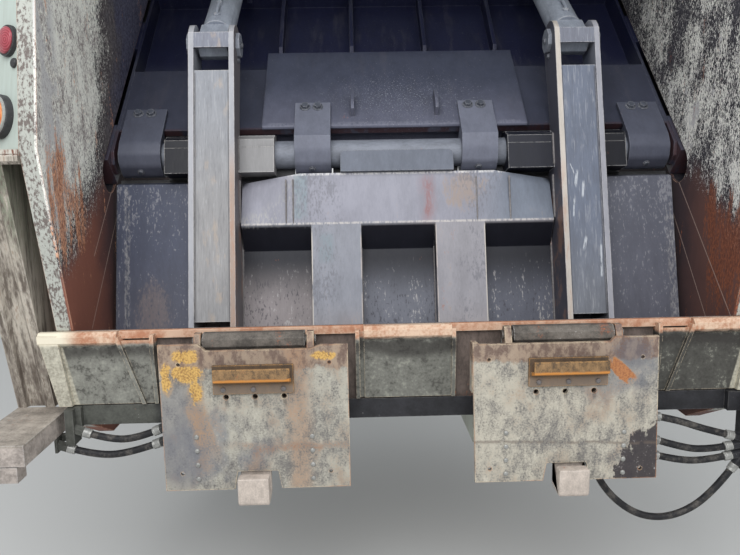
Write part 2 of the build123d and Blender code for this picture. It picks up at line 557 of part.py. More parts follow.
BLADE_HALF = INNER_HALF - SIDE_GAP
PANEL_BACK, PANEL_FRONT, FACE = -30, -10, 52
BEAM_TOP, BEAM_LOW = 80, 263
WING_TOP, BEAM_BEND_X = 92, 345        # beyond this x the beam's top edge is folded back
RIB_X, RIB_WIDTH = 219, 176
ARM_LOW_X, ARM_HIGH_X = ARM_X - ARM_WIDTH / 2, ARM_X + ARM_WIDTH / 2
with BuildPart() as blade:
    slab(-BLADE_HALF, BLADE_HALF,
         in_place([(WING_TOP, PANEL_BACK), (BLADE_LENGTH, PANEL_BACK), (BLADE_LENGTH, PANEL_FRONT),
                   (WING_TOP, PANEL_FRONT)], on_blade))
    beam = [(BEAM_TOP, PANEL_FRONT), (BEAM_TOP, FACE), (BEAM_LOW, FACE), (BEAM_LOW + 84, PANEL_FRONT)]
    folded = [(BEAM_TOP + 26, PANEL_FRONT), (BEAM_TOP + 26, FACE - 40), *beam[2:]]
    slab(-BEAM_BEND_X, BEAM_BEND_X, in_place(beam, on_blade))
    for side, _ in SIDES:
        loft([outline(side * BEAM_BEND_X, in_place(beam, on_blade)),
              outline(side * (ARM_LOW_X - 4), in_place(folded, on_blade))], ruled=True)
    for x in (-RIB_X, RIB_X):
        slab(x - RIB_WIDTH / 2, x + RIB_WIDTH / 2,
             in_place([(BEAM_LOW - 1, PANEL_FRONT), (BEAM_LOW - 1, FACE), (760, FACE), (820, PANEL_FRONT)],
                      on_blade))
    for side, _ in SIDES:
        low, high = span(side, ARM_HIGH_X + 4, BLADE_HALF)
        slab(low, high, in_place([(WING_TOP, PANEL_FRONT), (WING_TOP + 10, 12), (800, 12),
                                  (822, PANEL_FRONT)], on_blade))
save("blade", blade.part)

with BuildPart() as shaft:
    rod(-BLADE_HALF + SIDE_GAP, BLADE_HALF - SIDE_GAP, (SHAFT_Y, SHAFT_Z), SHAFT_R)
save("blade_shaft", shaft.part)

GUARD_HALF, GUARD_TOP, GUARD_BACK, GUARD_FACE, GUARD_CORNER = 200, 4, SHAFT_R + 2, 70, 18
with BuildPart() as guard:
    slab(-GUARD_HALF, GUARD_HALF, in_place([(GUARD_TOP, GUARD_BACK), (BEAM_TOP, GUARD_BACK),
                                            (BEAM_TOP, GUARD_FACE), (GUARD_TOP, GUARD_FACE)], on_blade))
    fillet(guard.edges().filter_by(lambda e: abs(e.length - (GUARD_FACE - GUARD_BACK)) < 1)
           .sort_by(Axis.Z)[-2:], GUARD_CORNER)
save("shaft_guard", guard.part)

EAR_R, EAR_SIDES, CHEEK, COVER_TOP = 69, 14, 18, -267
HUB_IN = {"left": 432, "right": 394}
HUB_OUT, HUB_TOP, HUB_LOW, HUB_FACE, HUB_BEVEL = 815, -50, 78, 74, 10
ARM_BACK = 146
for side, name in SIDES:
    with BuildPart() as arm:
        low, high = span(side, ARM_LOW_X, ARM_HIGH_X)
        pin = on_blade(PIN_U, PIN_V)
        arm_side = [(PIN_U, PIN_V + EAR_R + 2), (620, ARM_BACK), (700, 60), (700, PANEL_FRONT),
                    (BEAM_TOP + 8, PANEL_FRONT), (60, 30), (-120, 36), (PIN_U + 30, PIN_V - EAR_R + 6)]
        for x1, x2 in ((low, low + CHEEK), (high - CHEEK, high)):
            slab(x1, x2, in_place(arm_side, on_blade))
            eye(x1, x2, pin, EAR_R, EAR_SIDES)
        slab(low, high, in_place([(COVER_TOP, ARM_BACK - 20), (COVER_TOP, ARM_BACK - 9), (600, ARM_BACK - 9),
                                  (600, ARM_BACK - 20)], on_blade))
        slab(low, high, in_place([(-400, ARM_BACK - 12), (-346, ARM_BACK - 12), (-346, ARM_BACK - 1),
                                  (-400, ARM_BACK - 1)], on_blade))
        slab(low, high, in_place([(-90, 36), (60, 30), (BEAM_TOP + 8, PANEL_FRONT),
                                  (BEAM_TOP + 22, PANEL_FRONT), (BEAM_TOP + 22, ARM_BACK - 20),
                                  (-90, ARM_BACK - 20)], on_blade))
        hub_low, hub_high = span(side, HUB_IN[name], HUB_OUT)
        eye(hub_low, hub_high, (SHAFT_Y, SHAFT_Z), 70)
        slab(hub_low, hub_high, in_place([(HUB_TOP, 0), (HUB_TOP, HUB_FACE - HUB_BEVEL),
                                          (HUB_TOP + HUB_BEVEL, HUB_FACE), (HUB_LOW, HUB_FACE), (HUB_LOW, 0)],
                                         on_blade))
        rod(hub_low, hub_high, (SHAFT_Y, SHAFT_Z), SHAFT_R + 0.3, Mode.SUBTRACT)
        rod(low, high, pin, PIN_R, Mode.SUBTRACT)
    save(f"lever_arm_{name}", arm.part)

with BuildPart() as lever_pins:
    for side, _ in SIDES:
        low, high = span(side, ARM_LOW_X, ARM_HIGH_X)
        rod(low, high, on_blade(PIN_U, PIN_V), PIN_R - 0.3)
        for x1, x2 in ((low - 14, low), (high, high + 14)):
            eye(x1, x2, on_blade(PIN_U, PIN_V), PIN_R + 10)
save("lever_pins", lever_pins.part)

# Sweep cylinders between the lever pins and the carriage's anchor ears

SWEEP_BARREL_R, SWEEP_ROD_R = 57, 30
BARREL_NECK, SWEEP_BARREL_END = 74, 590
direction = Vector(0, cos(radians(SWEEP_ANGLE)), sin(radians(SWEEP_ANGLE)))


def along_sweep(x, distance):
    """Point on a sweep cylinder's axis at a distance from its lever pin."""
    return (x, pin_y + distance * direction.Y, pin_z + distance * direction.Z)


def beside_sweep(distance, off):
    """(y, z) of a point off to the side of a sweep cylinder's axis."""
    return (pin_y + distance * direction.Y - off * direction.Z,
            pin_z + distance * direction.Z + off * direction.Y)


for side, name in SIDES:
    x = side * ARM_X
    with BuildPart() as sweep_barrel:
        slab(x - 50, x + 50, in_place([(-44, 18), (-44, -18), (-20, -44), (BARREL_NECK + 2, -44),
                                       (BARREL_NECK + 2, 44), (-20, 44)], beside_sweep))
        bar(along_sweep(x, BARREL_NECK), along_sweep(x, SWEEP_BARREL_END), SWEEP_BARREL_R)
        bar(along_sweep(x, BARREL_NECK + 10), along_sweep(x, SWEEP_BARREL_END + 1), SWEEP_ROD_R + 1,
            Mode.SUBTRACT)
        rod(x - 50, x + 50, (pin_y, pin_z), PIN_R + 0.4, Mode.SUBTRACT)
    save(f"sweep_barrel_{name}", sweep_barrel.part)

    with BuildPart() as sweep_rod:
        bar(along_sweep(x, SWEEP_LENGTH - 560), along_sweep(x, SWEEP_LENGTH), SWEEP_ROD_R)
        eye(x - 30, x + 30, (anchor_y, anchor_z), 42)
        rod(x - 30, x + 30, (anchor_y, anchor_z), 25, Mode.SUBTRACT)
    save(f"sweep_rod_{name}", sweep_rod.part)

# Cart tippers: a fixed actuator on the sill, a swinging plate, its catch and its latch hook

AXIS = (TIPPER_AXIS_Y, up(TIPPER_AXIS_HEIGHT))
PLATE_TOP_Z = up(1018)
PLATE_BOTTOM_Z = PLATE_TOP_Z - TIPPER_HEIGHT
PLATE_Y, PLATE_THICK = -1870, 12
PLATE_TOPS = {  # raised corners: x from the middle and height above the top edge
    "left": [(-276, 20), (-160, 20), (-138, 0), (166, 0), (196, 11), (276, 11)],
    "right": [(-276, 6), (-262, 6), (-256, 0), (132, 0), (145, 14), (276, 14)],
}
PLATE_SKEW = {"left": 0, "right": 10}  # how far the bottom edge is bent sideways
ACTUATOR_R, ACTUATOR_HALF = 27, 150
CATCH_WIDTH, CATCH_TOP, CATCH_LOW = 237, up(976), up(888)
CATCH_SHIFT, HOOK_SHIFT = {"left": -2, "right": 7}, {"left": -8, "right": 19}
HOOK_WIDTH, NOTCH_WIDTH, NOTCH_HEIGHT = 92, 140, 56
HOOK_TOP, HOOK_LOW, HOOK_BACK = up(645), up(560), 56
for side, name in SIDES:
    cx = side * TIPPER_X
    with BuildPart() as mount:
        eye(cx - ACTUATOR_HALF, cx + ACTUATOR_HALF, AXIS, ACTUATOR_R)
        rod(cx - ACTUATOR_HALF - 32, cx + ACTUATOR_HALF + 32, AXIS, 14)
        for x in (cx - 110, cx + 110):
            slab(x - 20, x + 20, [(SILL_FACE_Y - 15, SILL_Z - 34), (AXIS[0], AXIS[1] + 10),
                                  (AXIS[0], AXIS[1] - ACTUATOR_R), (SILL_FACE_Y - 15, SILL_Z - 150)])
        block((cx - 170, SILL_FACE_Y - 15, SILL_Z - 190), (cx + 170, SILL_FACE_Y, SILL_Z - 28))
        if name == "right":
            (x, height), (x_next, height_next) = HOSES["right_loop"][:2]
            hose_end = Vector(x, HOSE_Y, up(height))
            outward = (hose_end - Vector(x_next, HOSE_Y, up(height_next))).normalized()
            shelf = up(height) + 18
            block((x - 24, HOSE_Y - 18, shelf), (x + 24, TUBE_REAR - 1, shelf + 10))
            block((x - 24, TUBE_REAR - 11, shelf), (x + 24, TUBE_REAR - 1, SILL_Z - 160))
            nut(hose_end, hose_end + outward * 20, FITTING_R)
    save(f"tipper_mount_{name}", mount.part)

    with BuildPart() as plate:
        half, skew = TIPPER_WIDTH / 2, PLATE_SKEW[name]
        notch = NOTCH_WIDTH / 2
        with BuildSketch(Plane.XZ.offset(-PLATE_Y)):
            with BuildLine():
                Polyline(*[(cx + x, PLATE_TOP_Z + z) for x, z in PLATE_TOPS[name]],
                         (cx + half + skew, PLATE_BOTTOM_Z), (cx + notch + skew, PLATE_BOTTOM_Z),
                         (cx + notch - 10 + skew, PLATE_BOTTOM_Z + NOTCH_HEIGHT),
                         (cx - notch + 10 + skew, PLATE_BOTTOM_Z + NOTCH_HEIGHT),
                         (cx - notch + skew, PLATE_BOTTOM_Z), (cx - half + skew, PLATE_BOTTOM_Z), close=True)
            make_face()
        extrude(amount=PLATE_THICK)
        for ear in (-1, 1):
            x1, x2 = sorted((cx + ear * (ACTUATOR_HALF + 6), cx + ear * (ACTUATOR_HALF + 26)))
            slab(x1, x2, [(AXIS[0] + 10, AXIS[1] + 26), (AXIS[0] - 10, AXIS[1] + 26),
                          (PLATE_Y, PLATE_TOP_Z - 4), (PLATE_Y, AXIS[1] - 150), (AXIS[0] + 10, AXIS[1] - 30),
                          (AXIS[0] + 26, AXIS[1] - 10), (AXIS[0] + 26, AXIS[1] + 10)])
            edge = cx + ear * half
            x1, x2 = sorted((edge, edge - ear * 14))
            slab(x1, x2, [(PLATE_Y, PLATE_TOP_Z - 150), (PLATE_Y + 36, PLATE_TOP_Z - 150),
                          (PLATE_Y + 36, PLATE_TOP_Z - 8), (PLATE_Y + 24, PLATE_TOP_Z + 4),
                          (PLATE_Y, PLATE_TOP_Z)])
        rod(cx - ACTUATOR_HALF - 30, cx + ACTUATOR_HALF + 30, AXIS, 14.4, Mode.SUBTRACT)
    save(f"tipper_plate_{name}", plate.part)

    with BuildPart() as catch:
        y, cx = PLATE_Y - PLATE_THICK, side * TIPPER_X + CATCH_SHIFT[name]
        block((cx - CATCH_WIDTH / 2, y - 10, CATCH_LOW), (cx + CATCH_WIDTH / 2, y, CATCH_TOP))
        slab(cx - CATCH_WIDTH / 2 + 8, cx + CATCH_WIDTH / 2 - 8,
             [(y - 10, CATCH_LOW + 34), (y - 10, CATCH_LOW + 44), (y - 34, CATCH_LOW + 54),
              (y - 36, CATCH_TOP - 4), (y - 46, CATCH_TOP - 4), (y - 46, CATCH_LOW + 46)])
    save(f"tipper_catch_{name}", catch.part)

    with BuildPart() as hook:
        y, cx = PLATE_Y - PLATE_THICK, side * TIPPER_X + HOOK_SHIFT[name]
        slab(cx - HOOK_WIDTH / 2, cx + HOOK_WIDTH / 2,
             [(PLATE_Y, HOOK_LOW + 130), (PLATE_Y + 13, HOOK_LOW + 130), (PLATE_Y + 13, HOOK_LOW + 8),
              (y - HOOK_BACK + 8, HOOK_LOW), (y - HOOK_BACK, HOOK_LOW + 8), (y - HOOK_BACK, HOOK_TOP),
              (y - HOOK_BACK + 40, HOOK_TOP), (y - HOOK_BACK + 40, HOOK_LOW + 24), (PLATE_Y, HOOK_LOW + 28)])
    save(f"latch_hook_{name}", hook.part)

# Hydraulic hoses under the sill, each between two fittings


def hose_path(points):
    """The hose's line, straight runs with tangent arcs, and the arcs' radii."""
    spots = [Vector(x, HOSE_Y, up(height)) for x, height in points]
    radii = []
    for before, corner, after in zip(spots, spots[1:], spots[2:]):
        half_turn = radians((corner - before).get_angle(after - corner)) / 2
        shorter = min((corner - before).length, (after - corner).length)
        radii.append(0.45 * shorter / tan(half_turn))
    return FilletPolyline(*spots, radius=radii), radii


for name, points in HOSES.items():
    with BuildPart() as hose:
        with BuildLine() as path:
            line, radii = hose_path(points)
        with BuildSketch(Plane(origin=line @ 0, z_dir=line % 0)):
            Circle(HOSE_R)
        sweep()
    print(name, "length", round(line.length, 1), "bends", [round(r) for r in radii],
          "volume over section", round(hose.part.volume / (pi * HOSE_R ** 2), 1))
    save(f"hose_{name}", hose.part)
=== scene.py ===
"""Rear loader tailgate: worn paint, scraped steel, rust, lamps, fasteners and hoses."""
import json
from math import cos, hypot, pi, radians, sin, tan

import bmesh
import bpy
from mathutils import Matrix, Vector

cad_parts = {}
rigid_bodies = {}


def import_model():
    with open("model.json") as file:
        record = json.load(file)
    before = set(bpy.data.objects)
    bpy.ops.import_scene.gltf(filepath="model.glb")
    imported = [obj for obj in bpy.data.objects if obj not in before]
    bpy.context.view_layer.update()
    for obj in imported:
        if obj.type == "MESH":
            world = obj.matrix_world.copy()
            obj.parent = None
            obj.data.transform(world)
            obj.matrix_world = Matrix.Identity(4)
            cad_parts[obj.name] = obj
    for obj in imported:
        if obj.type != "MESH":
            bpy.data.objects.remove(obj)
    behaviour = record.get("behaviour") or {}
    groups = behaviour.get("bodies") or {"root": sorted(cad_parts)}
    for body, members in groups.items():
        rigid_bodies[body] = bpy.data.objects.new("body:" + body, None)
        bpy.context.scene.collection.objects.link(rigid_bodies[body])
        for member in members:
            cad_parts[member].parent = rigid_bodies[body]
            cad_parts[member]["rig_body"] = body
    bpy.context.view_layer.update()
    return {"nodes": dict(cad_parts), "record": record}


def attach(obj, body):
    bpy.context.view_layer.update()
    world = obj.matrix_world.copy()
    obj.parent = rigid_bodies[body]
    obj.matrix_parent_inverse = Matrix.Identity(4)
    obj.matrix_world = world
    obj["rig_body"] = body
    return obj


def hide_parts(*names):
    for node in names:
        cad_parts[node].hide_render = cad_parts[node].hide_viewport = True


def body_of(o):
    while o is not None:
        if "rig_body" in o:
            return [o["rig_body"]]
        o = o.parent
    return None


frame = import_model()
nodes = frame["nodes"]

# Places, in metres, from the middle of the hinge axis
ROAD_Z = -3.1
SHAFT_Y, SHAFT_Z = -1.295, ROAD_Z + 1.588
LEAN, SLIDE, SWEEP, LAMP_TURN = radians(13.5), radians(45), radians(36), radians(37)
PILLAR_SLOPE = 0.17085
WALL_X, SILL_Z, SILL_FACE_Y = 1.015, ROAD_Z + 1.062, -1.763
ROLL_Y, ROLL_R = -1.785, 0.022
ARM_X, ARM_HALF, CHEEK = 0.636, 0.0785, 0.018
PIN_U, PIN_V = -0.38, 0.075
TIPPER_X, PLATE_Y, PLATE_REAR_Y = 0.459, -1.87, -1.882
SIDES = ((-1, "left"), (1, "right"))


def up(height):
    """z of a height above the road."""
    return ROAD_Z + height


def on_blade(x, u, v):
    """Point u down the blade from the shaft and v out from it."""
    return Vector((x, SHAFT_Y - u * sin(LEAN) - v * cos(LEAN), SHAFT_Z - u * cos(LEAN) + v * sin(LEAN)))


def on_slide(x, s, t):
    """Point s up the slide from the shaft and t out from it."""
    return Vector((x, SHAFT_Y + s * cos(SLIDE) - t * sin(SLIDE), SHAFT_Z + s * sin(SLIDE) + t * cos(SLIDE)))


BLADE_DOWN, BLADE_OUT = Vector((0, -sin(LEAN), -cos(LEAN))), Vector((0, -cos(LEAN), sin(LEAN)))
SLIDE_UP, SLIDE_OUT = Vector((0, cos(SLIDE), sin(SLIDE))), Vector((0, -sin(SLIDE), cos(SLIDE)))
REARWARD, ACROSS = Vector((0, -1, 0)), Vector((1, 0, 0))


# Shader maths: a socket's value with Python's operators


def feed(tree, socket, value):
    """Links a field to a socket, or sets the socket to a number, a vector or a displayed colour."""
    if isinstance(value, Field):
        tree.links.new(value.socket, socket)
    elif isinstance(value, tuple) and socket.type == "RGBA":
        socket.default_value = (*(((c / 255 + 0.055) / 1.055) ** 2.4 for c in value), 1.0)
    elif socket.type == "RGBA":
        socket.default_value = (value, value, value, 1.0)
    else:
        socket.default_value = value


def with_operation(operation, turned=False):
    """A method of a field: it with the other values, or turned, they with it."""
    def method(self, *others):
        return self.worked(operation, *others, self) if turned else self.worked(operation, self, *others)
    return method


class Field:
    """A value that varies over a surface."""

    def __init__(self, tree, socket):
        self.tree, self.socket = tree, socket

    def worked(self, operation, *values):
        node = self.tree.nodes.new("ShaderNodeMath")
        node.operation = operation
        for socket, value in zip(node.inputs, values):
            feed(self.tree, socket, value)
        return Field(self.tree, node.outputs[0])

    def __neg__(self):
        return self * -1.0

    __add__ = __radd__ = with_operation("ADD")
    __mul__ = __rmul__ = with_operation("MULTIPLY")
    __sub__, __rsub__ = with_operation("SUBTRACT"), with_operation("SUBTRACT", turned=True)
    __truediv__ = with_operation("DIVIDE")
    least, most = with_operation("MINIMUM"), with_operation("MAXIMUM")
    size, root, sine = with_operation("ABSOLUTE"), with_operation("SQRT"), with_operation("SINE")


class Finish:
    """A material under construction, on the object's own coordinates."""

    def __init__(self, name, metallic=0.0, specular=0.35, coat=0.0, coat_roughness=0.2):
        self.material = bpy.data.materials.new(name)
        self.material.use_nodes = True
        self.tree = self.material.node_tree
        self.tree.nodes.clear()
        self.shader = self.tree.nodes.new("ShaderNodeBsdfPrincipled")
        output = self.tree.nodes.new("ShaderNodeOutputMaterial")
        self.tree.links.new(self.shader.outputs[0], output.inputs[0])
        for socket, value in (("Metallic", metallic), ("Specular IOR Level", specular),
                              ("Coat Weight", coat), ("Coat Roughness", coat_roughness)):
            self.shader.inputs[socket].default_value = value
        self.place = self.node("TexCoord", output="Object")
        self.x, self.y, self.z = (self.node("SeparateXYZ", {}, {0: self.place}, output=n) for n in range(3))
        self.height = self.z - ROAD_Z

    def node(self, kind, settings=None, values=None, output=0):
        """One node of a kind, its settings first and then its sockets; the field of one output."""
        made = self.tree.nodes.new("ShaderNode" + kind)
        for name, value in (settings or {}).items():
            setattr(made, name, value)
        for socket, value in (values or {}).items():
            feed(self.tree, made.inputs[socket], value)
        return Field(self.tree, made.outputs[output])

    def noise(self, scale, detail=4.0, rough=0.55, stretch=(1, 1, 1), turn=(0, 0, 0), shift=(0, 0, 0), warp=0.0):
        place = self.node("Mapping", {"vector_type": "POINT"}, {
            "Vector": self.place, "Scale": stretch, "Rotation": turn, "Location": shift})
        return self.node("TexNoise", {}, {
            "Vector": place, "Scale": scale, "Detail": detail, "Roughness": rough, "Distortion": warp})

    def step(self, value, low, high):
        """0 below low, 1 above high and smooth between; a low above its high turns it round."""
        return self.node("MapRange", {"interpolation_type": "SMOOTHSTEP", "clamp": True}, {
            "Value": value, "From Min": low, "From Max": high})

    def fade(self, value, low, high, first, second):
        """The first colour below low, the second above high."""
        return self.mix(self.step(value, low, high), first, second)

    def band(self, value, low, high, soft):
        """1 between two values, with soft ends."""
        return self.step(value, low - soft, low + soft) * self.step(value, high + soft, high - soft)

    def ball(self, centre, radii):
        """1 at a centre, falling to 0 at the radii."""
        offset = [(axis - c) / r for axis, c, r in zip((self.x, self.y, self.z), centre, radii)]
        square = offset[0] * offset[0] + offset[1] * offset[1] + offset[2] * offset[2]
        return 1 - square.least(1.0)

    def stroke(self, plane, start, end, width):
        """A straight mark between two points of a plane, which its two coordinates give."""
        (a0, b0), (a1, b1) = start, end
        length = hypot(a1 - a0, b1 - b0)
        ca, cb = (a1 - a0) / length, (b1 - b0) / length
        along = (plane[0] - a0) * ca + (plane[1] - b0) * cb
        aside = (plane[0] - a0) * cb - (plane[1] - b0) * ca
        return (self.step(aside.size(), width, width * 0.5) * self.step(along, 0.0, width * 3)
                * self.step(along, length, length - width * 3))

    def mix(self, factor, first, second):
        return self.node("Mix", {"data_type": "RGBA", "clamp_factor": True}, {
            0: factor, 6: first, 7: second}, output=2)

    def over(self, mask, colour):
        """Lays a coat over the colour so far, where its mask is 1."""
        self.colour = self.mix(mask, self.colour, colour)

    def shaded(self, colour, factor):
        """A colour times a number that varies."""
        return self.node("Mix", {"data_type": "RGBA", "blend_type": "MULTIPLY"}, {0: 1.0, 6: colour, 7: factor},
                         output=2)

    def edges(self, radius=0.006):
        """Bright where two faces meet at a corner."""
        soft = self.node("Bevel", {"samples": 4}, {"Radius": radius})
        hard = self.node("NewGeometry", output="Normal")
        same = self.node("VectorMath", {"operation": "DOT_PRODUCT"}, {0: soft, 1: hard}, output="Value")
        return self.step(1 - same, 0.02, 0.12)

    def blade_places(self):
        """Distances down the blade from the shaft and out from it."""
        dy, dz = self.y - SHAFT_Y, self.z - SHAFT_Z
        return dy * -sin(LEAN) - dz * cos(LEAN), dy * -cos(LEAN) + dz * sin(LEAN)

    def slide_places(self):
        """Distances up the slide from the shaft and out from it."""
        dy, dz = self.y - SHAFT_Y, self.z - SHAFT_Z
        return dy * cos(SLIDE) + dz * sin(SLIDE), dz * cos(SLIDE) - dy * sin(SLIDE)

    def done(self, colour, roughness, height=None, relief=0.001):
        """Feeds the shader and gives the material."""
        feed(self.tree, self.shader.inputs["Base Color"], colour)
        feed(self.tree, self.shader.inputs["Roughness"], roughness)
        if height is not None:
            bump = self.node("Bump", {}, {"Height": height, "Distance": relief, "Strength": 0.7})
            feed(self.tree, self.shader.inputs["Normal"], bump)
        return self.material


# Colours, as they are displayed, 0 to 255

# The second colour is painted shade, used inside the slide track's cover.
PALE_PAINT, SLOT_SHADE, GREY_WORN = (198, 204, 192), (32, 34, 44), (188, 186, 184)
RUST_ORANGE, RUST_BROWN, RUST_PALE = (160, 92, 58), (96, 62, 52), (190, 152, 128)


def wall_paint(name, side):
    """Pale paint at the mouth, scraped through to dark steel inside, darker further inside partly as painted shade,
    smooth red rust low down.
    """
    f = Finish(name, specular=0.3)
    h, left = f.height, side < 0
    lean = (radians(-16 if left else -10), 0, 0)
    streak = f.noise(46, 6, 0.66, (1, 1, 0.3), lean, warp=0.3)
    fleck = f.noise(190, 4, 0.68, (1, 1, 0.4), lean, shift=(0, side, 0))
    speck = f.noise(430, 2, 0.6, (1, 1, 0.55), lean)
    broad = f.noise(6, 4, 0.55, shift=(side * 3.1, 0, 0))
    patch = f.noise(19, 5, 0.62, (1, 1, 0.5), lean, shift=(side * 1.7, 0, 0))
    grain = streak * 0.16 + fleck * 0.52 + speck * 0.32
    drift = (broad - 0.5) * 0.3 + (patch - 0.5) * 0.2
    # Partly painted shade: further inward the pale paint thins out and the wall turns darker.
    if left:
        inward = f.y + 1.42 - (h - 1.6) * 0.17 + drift
        share = f.step(inward, 0.12, -0.14)
        low = h - 1.25 - (f.y + 1.74) * 0.7 + (broad - 0.5) * 0.1
    else:
        inward = f.y + 1.12 - (h - 1.6) * 0.5 + drift
        share = 0.36 + (broad - 0.5) * 1.3 + (patch - 0.5) * 1.1 + f.step(f.y, -1.5, -1.8) * 0.14
        share = share * f.step(inward, 0.12, -0.14)
        low = h - 1.315 - (f.y + 1.75) * 0.55 + (broad - 0.5) * 0.16
    share = share * f.step(low, -0.06, 0.34 if left else 0.14)
    level = 0.6 - share * 0.24
    painted = f.step(grain, level - 0.012, level + 0.018) * f.step(share, 0.0, 0.08)
    worn, bright = ((160, 152, 150), (240, 240, 232)) if left else ((166, 163, 164), (240, 238, 232))
    paint = f.fade(grain + (patch - 0.5) * 0.4, 0.43, 0.54, worn, bright)
    lilac = f.band(f.y, -1.86, -1.74, 0.03) * f.step(patch, 0.46, 0.56) if left else f.step(patch, 0.6, 0.68)
    paint = f.mix(lilac * 0.5, paint, (138, 136, 150))
    nick = f.step(fleck * 0.6 + patch * 0.4, 0.425, 0.395)
    dark = f.fade(grain, 0.44, 0.58, (62, 57, 62), (118, 112, 112)) if left else \
        f.fade(grain, 0.44, 0.58, (48, 46, 54), (92, 90, 96))
    paint = f.mix(nick * 0.8, paint, (84, 74, 72))
    # Painted shade further inside: a bluer tone for the bare steel, and darker rust low down past y -1.5.
    deep = f.fade(grain, 0.44, 0.6, (56, 56, 76), (106, 106, 128))
    dark = f.fade(inward, 0.06, 0.26, dark, deep)
    far, near = ((70, 52, 54), (134, 86, 72)) if left else ((64, 52, 56), (106, 75, 69))
    smooth = f.fade(f.y + 1.5 + (broad - 0.5) * 0.2, -0.1, 0.14, near, far)
    smooth = f.shaded(smooth, 0.8 + streak * 0.2 + speck * 0.2)
    dark = f.fade(low + (streak - 0.5) * 0.16, 0.1, -0.02, dark, smooth)
    f.colour = f.mix(painted, dark, paint)
    rust = f.noise(34, 6, 0.66, (1, 1, 0.14), lean, shift=(0, 0, side))
    if left:
        where = f.ball((-WALL_X, -1.79, up(1.46)), (0.2, 0.11, 0.24)).most(
            f.ball((-WALL_X, -1.66, up(1.43)), (0.2, 0.07, 0.16)) * 0.8)
    else:
        where = f.ball((WALL_X, -1.72, up(1.22)), (0.2, 0.16, 0.26)).most(
            f.ball((WALL_X, -1.6, up(1.36)), (0.2, 0.1, 0.14)) * 0.7)
    ochre = f.fade(fleck, 0.42, 0.6, (142, 86, 60), (220, 162, 126)) if left else \
        f.fade(fleck, 0.42, 0.6, (104, 62, 50), (150, 90, 64))
    stained = f.step(where * 0.5 + (rust - 0.5) * 1.6 + (fleck - 0.5) * 1.0 + (broad - 0.5) * 0.4, 0.24, 0.36)
    f.over(stained * 0.9, ochre)
    plane = (f.y, h)
    lines = (((-1.188, 1.509), (-1.627, 1.032)), ((-1.285, 1.53), (-1.56, 1.262))) if left else \
        (((-1.232, 1.47), (-1.613, 1.01)), ((-1.33, 1.5), (-1.772, 1.04)))
    for start, end in lines:
        f.over(f.stroke(plane, start, end, 0.003) * f.step(speck, 0.3, 0.46) * 0.75, (186, 162, 150))
    blotch = f.noise(130, 5, 0.68, (1, 1, 0.5), shift=(0, 0, side * 2.0)) * 0.7 + patch * 0.3
    edge = f.fade(blotch, 0.44, 0.53, (113, 104, 100), (180, 182, 175))
    f.over(f.step(f.x.size(), WALL_X + 0.006, WALL_X + 0.009) * f.step(f.y, -1.6, -1.66), edge)
    rim = f.edges(0.006) * f.step(streak, 0.36, 0.5)
    f.over(rim * 0.8, RUST_PALE)
    return f.done(f.colour, 0.8 - painted * 0.14, painted * 0.6 + grain * 0.5, 0.0011)


def steel(name, base, contrast=0.5, grain=(1, 1, 0.3), scale=30, flecks=0.0, fleck=GREY_WORN, rust=0.15, edge=GREY_WORN,
          edge_share=0.7, metallic=0.1, roughness=0.55, seed=0.0, marks=None):
    """Bare or thinly painted steel: streaks, flecks, rust, marks of its own and bright edges."""
    f = Finish(name, metallic=metallic, specular=0.4)
    shift = (seed, seed * 0.7, seed * 1.3)
    broad = f.noise(4.5, 4, 0.55, shift=shift)
    streak = f.noise(scale, 6, 0.64, grain, shift=shift)
    fine = f.noise(scale * 6, 3, 0.64, grain, shift=shift)
    value = streak * 0.45 + fine * 0.25 + broad * 0.3
    grit = streak * 0.5 + fine * 0.5
    f.colour = base(f, streak, fine) if callable(base) else base
    f.colour = f.shaded(f.colour, 1 + (f.step(value, 0.36, 0.64) - 0.5) * contrast * 2)
    if flecks:
        speck = f.noise(scale * 9, 2, 0.6, grain, shift=shift)
        level = 0.7 - flecks * 0.14
        f.over(f.step(speck * 0.6 + streak * 0.4 + (broad - 0.5) * 0.3, level, level + 0.03) * 0.85, fleck)
    if rust:
        level = 0.72 - rust * 0.22
        oxide = f.step(f.noise(9, 6, 0.66, (1, 1, 0.55), shift=(seed + 5, 0, 0)) + (fine - 0.5) * 0.35, level,
            level + 0.1)
        f.over(oxide * 0.8, f.fade(fine, 0.4, 0.62, RUST_BROWN, RUST_ORANGE))
    if marks:
        for mask, paint in marks(f, streak, fine):
            f.over(mask, paint)
    if edge_share:
        f.over(f.edges(0.005) * f.step(grit, 0.4, 0.52) * edge_share, edge)
    return f.done(f.colour, roughness + fine * 0.2 - 0.1, grit, 0.0008)


def blade_tones(f, streak, fine):
    """Lighter beam and ribs and dark wings, partly painted light and shade; pockets with the beam's painted shadow at
    the top.
    """
    u, v = f.blade_places()
    wide = f.x.size()
    # Partly painted light: the beam and ribs lighter as if lit from the sky.
    beam = f.fade(f.x, 0.2, 0.45, (140, 140, 151), (114, 121, 134))
    rib = f.fade(f.x, -0.1, 0.1, (133, 135, 144), (143, 141, 147))
    rib = f.mix(f.step(u, 0.5, 0.74) * 0.6, rib, (156, 148, 146))
    face = f.fade(u, 0.252, 0.262, beam, rib)
    low = f.fade(f.x, -0.3, -0.1, (138, 131, 132), (106, 108, 118))
    low = f.fade(f.x, 0.25, 0.35, low, (88, 90, 101))
    # Painted shadow: the beam's shadow makes the top of each pocket near black.
    pocket = f.fade(u, 0.37, 0.56, (22, 23, 33), low)
    below = f.step(u, 0.262, 0.265) * 0.032
    inner = f.fade(v - below, 0.013, 0.019, pocket, face)
    # Partly painted shade: the wings darker than the beam.
    wing = f.fade(f.x, -0.5, 0.5, (72, 77, 95), (96, 98, 110))
    wing = f.mix(f.step(u, 0.3, 0.62) * 0.5, wing, (90, 90, 100))
    return f.fade(wide, 0.708, 0.716, inner, wing)


